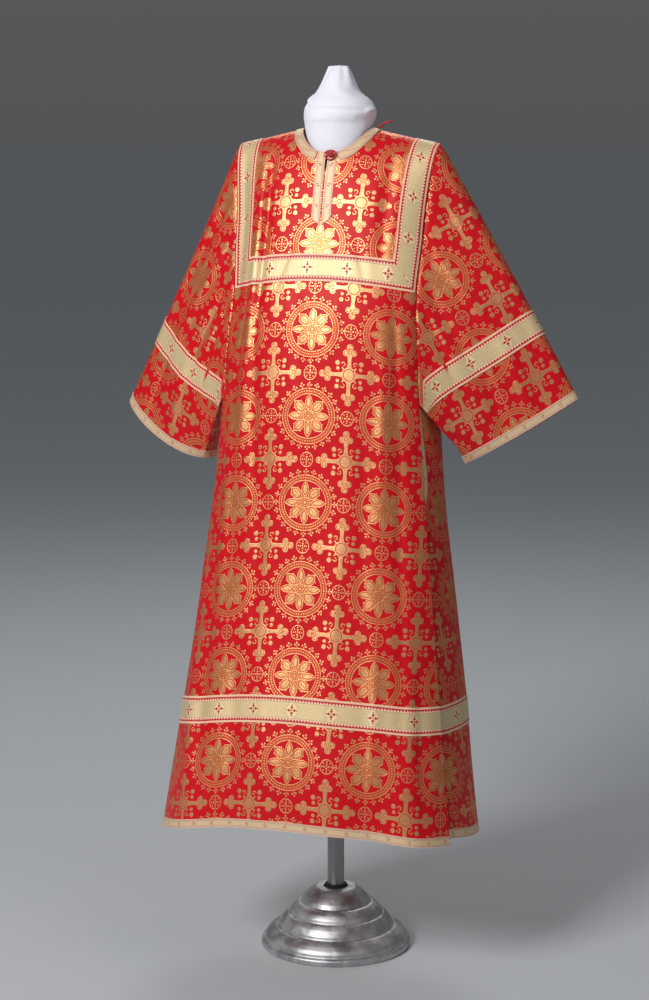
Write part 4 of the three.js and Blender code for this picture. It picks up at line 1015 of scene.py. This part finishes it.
def wide_galloon_paint():
    """Pale gold field, hatched between the plain lozenges that hold small red crosses, then a
    dark line, a row of red teeth and a pink-cream edge with a row of stitches."""
    paint = Paint("wide_galloon", (0.8, 0.6, 0.3), 0.45, Sheen_Weight=0.15, Specular_IOR_Level=0.5)
    s, w, _ = paint.coordinates()
    a = abs(w)
    tooth = abs(s.wrap(3.2)) - (a - 16.6) * 0.66
    teeth = (tooth.below(0, 0.3) * a.line(18.9, 2.3)).high(a.line(21.8, 1.3))
    line = a.line(15.6, 0.4)
    edge = 1 - a.below(15.2, 0.3)
    x, y = abs(s.wrap(CROSS_SPACING / 2)), a
    big, small = x.high(y), x.low(y)
    petals = away(big - 5.5, small).below(2.7, 0.4).high(away(x, y).below(1.5, 0.3))
    dots = petals.high(away(big - 10.2, small).below(1.5, 0.3))
    field = a.below(15.2, 0.3)
    plain = (x + a * 0.7).below(15, 0.6)
    hatch = abs((s + w).wrap(1.9)).below(0.85, 0.35) * (1 - plain) * field
    frame_line = (x + a * 0.7).line(15, 0.5) * field
    slub = paint.noise(90.0, 3, x=s * (4 * MM), y=w * MM)
    gold = paint.blend(slub, (0.80, 0.58, 0.29), (0.94, 0.74, 0.43))
    gold = paint.blend((hatch * 0.55).high(frame_line * 0.6), gold, (0.34, 0.21, 0.08))
    gold = paint.blend(edge, gold, (0.94, 0.58, 0.38))
    gold = paint.blend(line * 0.8, gold, (0.24, 0.14, 0.05))
    stitch = a.line(25.0, 0.3, 0.15) * abs(s.wrap(1.7)).below(1.15, 0.15)
    gold = paint.blend(stitch * 0.5, gold, (0.46, 0.22, 0.12))
    red = teeth.high(dots)
    paint.set("Base Color", paint.blend(red, gold, (0.50, 0.008, 0.016)))
    paint.set("Metallic", field * (1 - red) * 0.35)
    paint.set("Roughness", 0.42 + slub * 0.12)
    rib = (s * (2 * np.pi / 1.3)).sine() * 0.5 + 0.5
    paint.bump(red * 0.6 + hatch * 0.4 + rib * 0.25 + edge * 0.3 + slub * 0.2 - stitch * 0.8, 0.0003, 0.8)
    return paint.material


wide_galloon = wide_galloon_paint()


def braid(name, points, flat, material, nodes):
    """A woven strip with its wall, laid on the cloth."""
    return finish_cloth(sheet_mesh(name, points, flat), BRAID, material, nodes)


def strip_measures(points, width):
    """Flat measures of a strip: along its rows, and across them from its middle line."""
    along = lengths(points, 1)
    over = lengths(points, 0)
    over = over / np.maximum(over[-1:], 1e-6) * width - width / 2
    return np.stack([along - along[:, [points.shape[1] // 2]], over], -1)


def on_front(f, k, lift):
    return raised(front_cloth, f, k, 0.004, 1.0, lift + 0 * f)


def on_back(angle, k, lift):
    return raised(back_cloth, angle, k, 0.6, 1.0, -(lift + 0 * angle))


def yoke_frame(name, lay, outer, inner, node):
    """Two strips from the shoulder seam down and a band across, mitred at the corners: each
    strip's lower end and each end of the band is cut on the slant."""
    grids = []
    rows = np.linspace(0, 1, 17)[:, None]
    down = np.linspace(0, 1, 91)[None]
    share = rows + 0 * down
    for side in (-1, 1):
        column = side * (outer + (inner - outer) * share)
        k = RIDGE - 0.4 + (YOKE_BOTTOM + WIDE * share - RIDGE + 0.4) * down
        points = lay(column, k, LAID_ON)
        along = lengths(points, 1)
        over = (share - 0.5) * WIDE
        start = along + STRIP_START + STRIP_SIDE_START * side
        grids.append((points, np.stack([start, over], -1)))
    columns = 141
    reach = outer + (inner - outer) * rows
    column = np.linspace(-1, 1, columns)[None] * reach
    k = YOKE_BOTTOM + WIDE * rows + 0 * column
    points = lay(column, k, LAID_ON)
    middle = lengths(points, 1)
    middle = middle - middle[:, [columns // 2]]
    over = (0 * middle + rows - 0.5) * WIDE
    grids.append((points, np.stack([middle + BAND_START, over], -1)))
    parts = [sheet_mesh(f"{name}_{n}", points, flat) for n, (points, flat) in enumerate(grids)]
    bpy.ops.object.select_all(action="DESELECT")
    for part in parts:
        part.select_set(True)
    bpy.context.view_layer.objects.active = parts[0]
    bpy.ops.object.join()
    parts[0].name = name
    return finish_cloth(parts[0], BRAID, wide_galloon, [node], merge=True)


yoke_front = yoke_frame("yoke_front_braid", on_front, 0.985, 0.765, "yoke_galloon_front")
yoke_back = yoke_frame("yoke_back_braid", on_back, 63.6, 43.5, "yoke_galloon_back")


def panel_band(name, lay, reach, bottom, width, columns, material, node):
    """A band straight across a panel from edge to edge between two levels."""
    rows = np.linspace(0, 1, max(5, width // 3))[:, None]
    column = np.linspace(-reach, reach, columns)[None] + 0 * rows
    points = lay(column, bottom + width * rows + 0 * column, LAID_ON)
    return braid(name, points, strip_measures(points, width), material, [node])


skirt_front = panel_band("skirt_front_braid", on_front, 1, SKIRT_BAND_BOTTOM, WIDE, 161,
                         wide_galloon, "skirt_band_front")
skirt_back = panel_band("skirt_back_braid", on_back, 113, SKIRT_BAND_BOTTOM, WIDE, 201,
                        wide_galloon, "skirt_band_back")


def sleeve_band(name, key, low, high, lift, material, node):
    """A band round a sleeve between two distances above the cuff edge."""
    share = np.linspace(0, 1, 15)[:, None]
    t = above_cuff(key, low) + (above_cuff(key, high) - above_cuff(key, low)) * share
    over = lambda flat: np.stack([flat[..., 0], (share - 0.5) * (high - low) + 0 * flat[..., 0]], -1)
    piece = sleeve_sheet(name, key, t, lift, over)
    return finish_cloth(piece, BRAID, material, [node])


sleeve_bands = {
    key: sleeve_band(f"sleeve_braid_{key}", key, CUFF_TO_BAND, CUFF_TO_BAND + WIDE,
                     LAID_ON + 0.2, wide_galloon, f"sleeve_band_{key}")
    for key in SLEEVES
}


# ---- Narrow galloon -------------------------------------------------------------------
# An 18 mm galloon of the same gold edges the hem, the cuffs, the neck, both lips of the
# slit and the back's edges in the side slits.

NARROW = 18
SIDE_SLIT_BOTTOM = 985
PER_DEGREE = 4.1              # width of one degree of the back near its edge


def narrow_galloon_paint():
    """Beige gold with fine ribs, a mauve-pink line and a row of stitches near each edge, and
    clusters of small red dots at even steps."""
    paint = Paint("narrow_galloon", (0.75, 0.55, 0.33), 0.45, Sheen_Weight=0.15, Specular_IOR_Level=0.5)
    s, w, _ = paint.coordinates()
    a = abs(w)
    x = abs(s.wrap(21))
    dots = away(x - 2.6, a).below(1.2, 0.3).high(away(x, a - 2.6).below(1.2, 0.3))
    slub = paint.noise(90.0, 3, x=s * (4 * MM), y=w * MM)
    gold = paint.blend(slub, (0.64, 0.44, 0.24), (0.84, 0.62, 0.38))
    gold = paint.blend(a.line(6.6, 0.6), gold, (0.66, 0.30, 0.30))
    gold = paint.blend(1 - a.below(8.1, 0.3), gold, (0.84, 0.60, 0.46))
    gold = paint.blend(a.line(4.9, 0.35) * 0.6, gold, (0.36, 0.22, 0.10))
    stitch = a.line(7.7, 0.3, 0.15) * abs(s.wrap(1.7)).below(1.15, 0.15)
    gold = paint.blend(stitch * 0.6, gold, (0.46, 0.24, 0.14))
    paint.set("Base Color", paint.blend(dots, gold, (0.40, 0.03, 0.02)))
    paint.set("Metallic", (1 - dots) * 0.2)
    paint.set("Roughness", 0.42 + slub * 0.14)
    rib = (s * (2 * np.pi / 1.3)).sine() * 0.5 + 0.5
    paint.bump(dots * 0.5 + rib * 0.3 + a.line(6.6, 0.6) * 0.5 + slub * 0.2 - stitch * 0.8, 0.0003, 0.8)
    return paint.material


narrow_galloon = narrow_galloon_paint()

hem_front = panel_band("hem_front_braid", on_front, 1, HEM, NARROW, 161,
                       narrow_galloon, "hem_galloon_front")
hem_back = panel_band("hem_back_braid", on_back, BACK_WRAP, HEM, NARROW, 201,
                      narrow_galloon, "hem_galloon_back")
cuff_bands = {
    key: sleeve_band(f"cuff_braid_{key}", key, 0, NARROW, LAID_ON,
                     narrow_galloon, f"cuff_galloon_{key}")
    for key in SLEEVES
}


def placket(side):
    """A strip beside the slit from the neck edge to a mitred point below the slit."""
    over = np.linspace(0, 1, 9)[:, None]
    share = side * (0.012 + (0.1 - 0.012) * over)
    tops = neck_level(front, share)
    tip = SLIT_BOTTOM - 6 + over * NARROW * 0.6
    k = tops + (tip - tops) * np.linspace(0, 1, 61)[None]
    return on_front(share + 0 * k, k, LAID_ON + 0.2)


def side_slit_strip(side):
    """A strip on the back's edge in the side slit, bowed out below the sleeve."""
    t = np.linspace(0, 1, 61)[None]
    k = SIDE_SLIT_BOTTOM + (UNDERARM - 6 - SIDE_SLIT_BOTTOM) * t
    shown = 2 + 19 * np.sin(np.pi * t ** 0.5) ** 1.2
    outer = BACK_WRAP - 4.6 - shown / PER_DEGREE
    edge = np.minimum(BACK_WRAP - 0.4, outer + NARROW / PER_DEGREE)
    over = np.linspace(0, 1, 7)[:, None]
    return on_back(side * (outer + (edge - outer) * over), k + 0 * over, LAID_ON + 0.2)


plackets, slit_strips = {}, {}
for key, side in (("left", 1), ("right", -1)):
    for strips, name, points in ((plackets, "placket", placket(side)),
                                 (slit_strips, "slit", side_slit_strip(side))):
        strips[key] = braid(f"{name}_braid_{key}", points, strip_measures(points, NARROW),
                            narrow_galloon, [f"{name}_galloon_{key}"])


def neck_ring():
    """The strip round the neck: ovals about the neck opening, wider by up to the galloon's
    width, laid over the shoulders, from one placket round the back to the other."""
    turn = np.radians(np.linspace(17.8, 342.2, 241))[None]
    out = np.linspace(0, NARROW, 9)[:, None]
    wide = NECK_HALF + 0.6 + out * 0.94
    steep = 1 - 0.58 * np.maximum(0, np.cos(turn)) ** 1.5
    deep = np.where(np.cos(turn) > 0, NECK_FRONT, NECK_BACK) + 0.6 + out * steep
    points = shoulder_point(wide * np.sin(turn), NECK_MIDDLE - deep * np.cos(turn))
    normal = across(np.gradient(points, axis=0), np.gradient(points, axis=1))
    normal *= np.sign(normal[..., 2:3])
    return points + normal * (LAID_ON + 0.4)


ring_points = neck_ring()
neck_strip = braid("neck_braid", ring_points, strip_measures(ring_points, NARROW),
                   narrow_galloon, ["neck_galloon"])


# ---- Dress form -----------------------------------------------------------------------
# The garment hangs on a limbless form covered in plain linen, with a round neck. A white
# cloth is drawn over the neck and gathered to a stub at its top.

SEAT = 1.9


def under_seam(z):
    """Half width of the form just under the shoulder seam at a height."""
    return NECK_HALF + (SHOULDER_HEIGHT - 2 - SEAT - z) / SHOULDER_SLOPE


FORM_BOTTOM = 850
# Height, half width, half depth and middle along Y.
FORM = np.array([
    (FORM_BOTTOM, 136, 84, -24), (862, 146, 92, -24), (950, 160, 98, -24), (1060, 150, 90, -18),
    (1180, 136, 82, -12), (1300, 146, 82, -6), (1400, 160, 80, 0), (1480, 168, 74, 5),
    (1550, 176, 62, 10), (1600, 184, 48, 14), (1635, 196, 32, 18), (1658, 201, 22, 19),
    (1672, under_seam(1672), 15, 19), (1680, under_seam(1680), 16, 18),
    (1688, under_seam(1688) - 12, 13, 17), (1696, under_seam(1696) - 22, 20, 15),
    (1702, 50, 38, 14), (1745, 46, 38, 14), (1776, 43.8, 36, 14),
], dtype=float)


def form_paint():
    """Plain-woven linen: crossing threads with uneven thickness."""
    paint = Paint("form_linen", (0.55, 0.50, 0.43), 0.85, Sheen_Weight=0.2)
    x, y, z = paint.coordinates("Object")
    weft = ((z + paint.noise(30, 2) * 3) * (2 * np.pi / 1.4)).sine() * 0.5 + 0.5
    warp = ((x + y) * (2 * np.pi / 1.4)).sine() * 0.5 + 0.5
    slub = paint.noise(160, 3)
    paint.set("Base Color", paint.blend(slub, (0.46, 0.42, 0.35), (0.62, 0.57, 0.49)))
    paint.bump(weft * warp + slub * 0.5, 0.0003, 0.6)
    return paint.material


def form_torso():
    """Ovals through the form's levels, closed by a flat bottom and a slightly raised top."""
    around = 96
    z = np.unique(np.concatenate([np.linspace(FORM_BOTTOM, FORM[-1, 0], 180), FORM[:, 0]]))[:, None]
    turn = np.linspace(0, 2 * np.pi, around, endpoint=False)[None]
    half, deep, middle = (through(FORM[:, 0], FORM[:, n], z) for n in (1, 2, 3))
    ring_of = np.stack([half * np.sin(turn), middle - deep * np.cos(turn), z + 0 * turn], -1)
    bottom = np.broadcast_to([0, FORM[0, 3], FORM_BOTTOM], (1, around, 3))
    top = np.broadcast_to([0, FORM[-1, 3], FORM[-1, 0] + 2], (1, around, 3))
    points = np.concatenate([bottom, ring_of, top])
    flat = np.zeros((points.shape[0], around + 1, 2))
    return sheet_mesh("form_shell", points, flat, wrapped=True)


form = form_torso()
weld(form)
seat(form, form_paint(), ["form_torso"])

# Height, half width, depth before and behind the middle, and middle across.
COVER = np.array([
    (1700, 66, 58, 46, 0), (1714, 71, 62, 49, 1), (1738, 75, 64, 50, 4), (1757, 66, 58, 47, 3),
    (1776, 46, 45, 38, 0), (1797, 33, 33, 28, 1), (1814, 24.5, 23, 20, 1), (1827, 19, 12, 12, 0),
], dtype=float)
# Folds of the cover: angle from the centre front, height, how far the fold drops for each
# degree, half length in degrees, half width in mm and rise.
COVER_FOLDS = (
    (10, 1741, 0.04, 46, 5, -1.8), (12, 1750, 0.04, 50, 7, 1.4), (-62, 1752, 0.5, 17, 5, -6.5),
    (-66, 1761, 0.45, 20, 5, 4), (72, 1741, -0.15, 12, 6, 4), (60, 1722, 0.2, 16, 7, -2),
    (-30, 1722, -0.12, 30, 9, 1.6), (35, 1712, 0.1, 22, 8, -1.6), (140, 1745, 0.05, 40, 6, -3),
    (-150, 1738, -0.05, 44, 7, -3), (30, 1775, 0.3, 20, 8, 2), (-20, 1790, -0.2, 18, 9, -1.5),
)
COVER_MIDDLE, COVER_RIM, COVER_TOP = 14, 1700.9, 1828.5


def cover_paint():
    """Plain white cotton in a fine weave."""
    paint = Paint("white_cotton", (0.7, 0.69, 0.78), 0.8, Sheen_Weight=0.15, Sheen_Roughness=0.5)
    u, v, _ = paint.coordinates()
    weave = (u * (2 * np.pi / 0.9)).sine() * (v * (2 * np.pi / 0.9)).sine()
    tone = paint.noise(14, 3)
    paint.set("Base Color", paint.blend(tone, (0.82, 0.81, 0.90), (0.90, 0.89, 0.97)))
    paint.bump(weave * 0.5 + paint.noise(220, 2) * 0.5, 0.0002, 0.5)
    return paint.material


def neck_cover():
    """Rings through the cover's levels. The radius swells in pleats, 1 + a sum of 1 + sine of
    the angle, that deepen towards the gathered stub, and each fold adds a Gaussian ridge."""
    z = np.linspace(COVER[0, 0], COVER[-1, 0], 120)[:, None]
    degrees = np.linspace(-180, 180, 180, endpoint=False)[None]
    turn = np.radians(degrees)
    half, before, behind, aside = (through(COVER[:, 0], COVER[:, n], z) for n in (1, 2, 3, 4))
    rim = COVER_RIM - 50 * np.maximum(0, np.cos(turn)) ** 1.5 - 6 * np.maximum(0, -np.cos(turn)) ** 3
    height = z + (rim - COVER[0, 0]) * (1 - smooth(z, 1700, 1716))
    gather = smooth(z, 1776, COVER[-1, 0])
    pleats = 1 + gather * (0.05 * (1 + np.sin(5 * turn + 2)) + 0.04 * (1 + np.sin(9 * turn - z / 40)))
    rise = 0
    for at, level_of, drop, reach, spread, depth in COVER_FOLDS:
        aslant = (degrees - at + 180) % 360 - 180
        across_fold = (z - level_of + drop * aslant) / spread
        rise = rise + depth * np.exp(-(aslant / reach) ** 4 - across_fold ** 2)
    deep = np.where(np.cos(turn) > 0, before, behind)
    points = np.stack([aside + (half * pleats + rise) * np.sin(turn),
                       COVER_MIDDLE - (deep * pleats + rise) * np.cos(turn), height], -1)
    peak = np.broadcast_to([0, COVER_MIDDLE, COVER_TOP], (1, degrees.size, 3))
    points = np.concatenate([points, peak])
    closed = np.concatenate([points, points[:, :1]], 1)
    flat = np.stack([lengths(closed, 1), lengths(closed, 0)], -1)
    return sheet_mesh("neck_cover_cloth", points, flat, wrapped=True)


cover = finish_cloth(neck_cover(), 1.0, cover_paint(), ["form_neck_cover"], merge=True)


# ---- Stand ----------------------------------------------------------------------------
# A bright steel tube stands in a black bush in a heavy cast and turned aluminium foot.

def lathe(name, profile, around, node, material):
    """A turned piece: a profile of (radius, height) in mm carried round the Z axis, closed
    on the axis or on itself."""
    profile = np.array(profile, float)
    turn = np.linspace(0, 2 * np.pi, around, endpoint=False)
    radius, height = profile[:, :1], profile[:, 1:]
    points = np.stack([radius * np.sin(turn), -radius * np.cos(turn), height + 0 * turn], -1)
    flat_turn = np.linspace(0, 500, around + 1)[None]
    flat = np.stack(np.broadcast_arrays(lengths(points, 0)[:, :1], flat_turn), -1)
    piece = sheet_mesh(name, points, flat, wrapped=True)
    weld(piece)
    return seat(piece, material, [node])


def rounded(corners, radius, steps=5):
    """A profile with each inner corner replaced by a small curve."""
    corners = np.array(corners, float)
    path = [corners[:1]]
    t = np.linspace(0, 1, steps)[:, None]
    for before, corner, after in zip(corners[:-2], corners[1:-1], corners[2:]):
        reach_in = min(radius, 0.45 * np.linalg.norm(corner - before))
        reach_out = min(radius, 0.45 * np.linalg.norm(after - corner))
        start = corner + (before - corner) / np.linalg.norm(before - corner) * reach_in
        end = corner + (after - corner) / np.linalg.norm(after - corner) * reach_out
        path.append((1 - t)**2 * start + 2 * (1 - t) * t * corner + t**2 * end)
    return np.concatenate([*path, corners[-1:]])


def cast_paint():
    """Turned aluminium: fine rings from the tool, mottled dull patches and small dents."""
    paint = Paint("foot_metal", (0.5, 0.51, 0.53), 0.35, Metallic=0.9)
    x, y, z = paint.coordinates("Object")
    r = away(x, y)
    rings = paint.noise(1.0, 3, x=r * 0.9, y=z * 0.9)
    patch = 1 - paint.noise(26, 5, roughness=0.62).below(0.5, 0.14)
    paint.set("Base Color", paint.blend(patch, (0.44, 0.435, 0.44), (0.62, 0.62, 0.63)))
    paint.set("Roughness", 0.38 + patch * 0.16)
    paint.bump(rings * 0.6 + paint.noise(55, 4) * 1.6 + paint.noise(300, 2) * 0.3, 0.0006, 0.7)
    return paint.material


FOOT_TOP, SOCKET_RADIUS, SOCKET_FLOOR = 126, 25, 22
FOOT_PROFILE = (
    (0, 0), (155, 0), (157, 3), (157, 12), (153, 15), (150, 16), (149, 23), (145, 29), (137, 36),
    (127, 42), (121, 43), (119, 51), (111, 62), (103, 69), (97, 70), (95, 78), (88, 86), (79, 92),
    (73, 93), (70, 101), (61, 111), (52, 119), (45, 124), (40, FOOT_TOP),
    (SOCKET_RADIUS, FOOT_TOP), (SOCKET_RADIUS, SOCKET_FLOOR), (0, SOCKET_FLOOR),
)
lathe("foot_casting", rounded(FOOT_PROFILE, 2.5), 144, "stand_base", cast_paint())


def bush_paint():
    """Matt black rubber with a faint grain."""
    paint = Paint("bush_rubber", (0.02, 0.02, 0.021), 0.75)
    grain = paint.noise(400, 3)
    paint.set("Base Color", paint.blend(grain, (0.014, 0.014, 0.015), (0.035, 0.035, 0.037)))
    paint.bump(grain, 0.0002, 0.5)
    return paint.material


bush_profile = ((17.85, 70), (24.65, 70), (24.65, 127), (22.65, 131), (17.85, 131), (17.85, 70))
lathe("bush_ring", rounded(bush_profile, 1), 64, "pole_bush", bush_paint())


def steel_paint():
    """Bright drawn tube with fine lines along it and a few handling marks."""
    paint = Paint("pole_steel", (0.6, 0.61, 0.63), 0.25, Metallic=1.0, Anisotropic=0.85,
                  Anisotropic_Rotation=0.25)
    x, y, z = paint.coordinates("Object")
    turn = y.math("ARCTAN2", x)
    lines = paint.noise(1.0, 3, x=turn * 60, y=z * 0.02)
    marks = paint.noise(40, 3)
    paint.set("Base Color", paint.blend(marks, (0.40, 0.41, 0.42), (0.54, 0.55, 0.56)))
    paint.set("Roughness", 0.44 + lines * 0.12)
    paint.bump(lines, 0.0001, 0.5)
    return paint.material


POLE_RADIUS = 17.5
pole_low, pole_high = SOCKET_FLOOR + SEAM, FORM_BOTTOM - SEAM
pole_profile = ((0, pole_low), (POLE_RADIUS, pole_low), (POLE_RADIUS, pole_high), (0, pole_high))
lathe("pole_tube", rounded(pole_profile, 1), 64, "stand_pole", steel_paint())
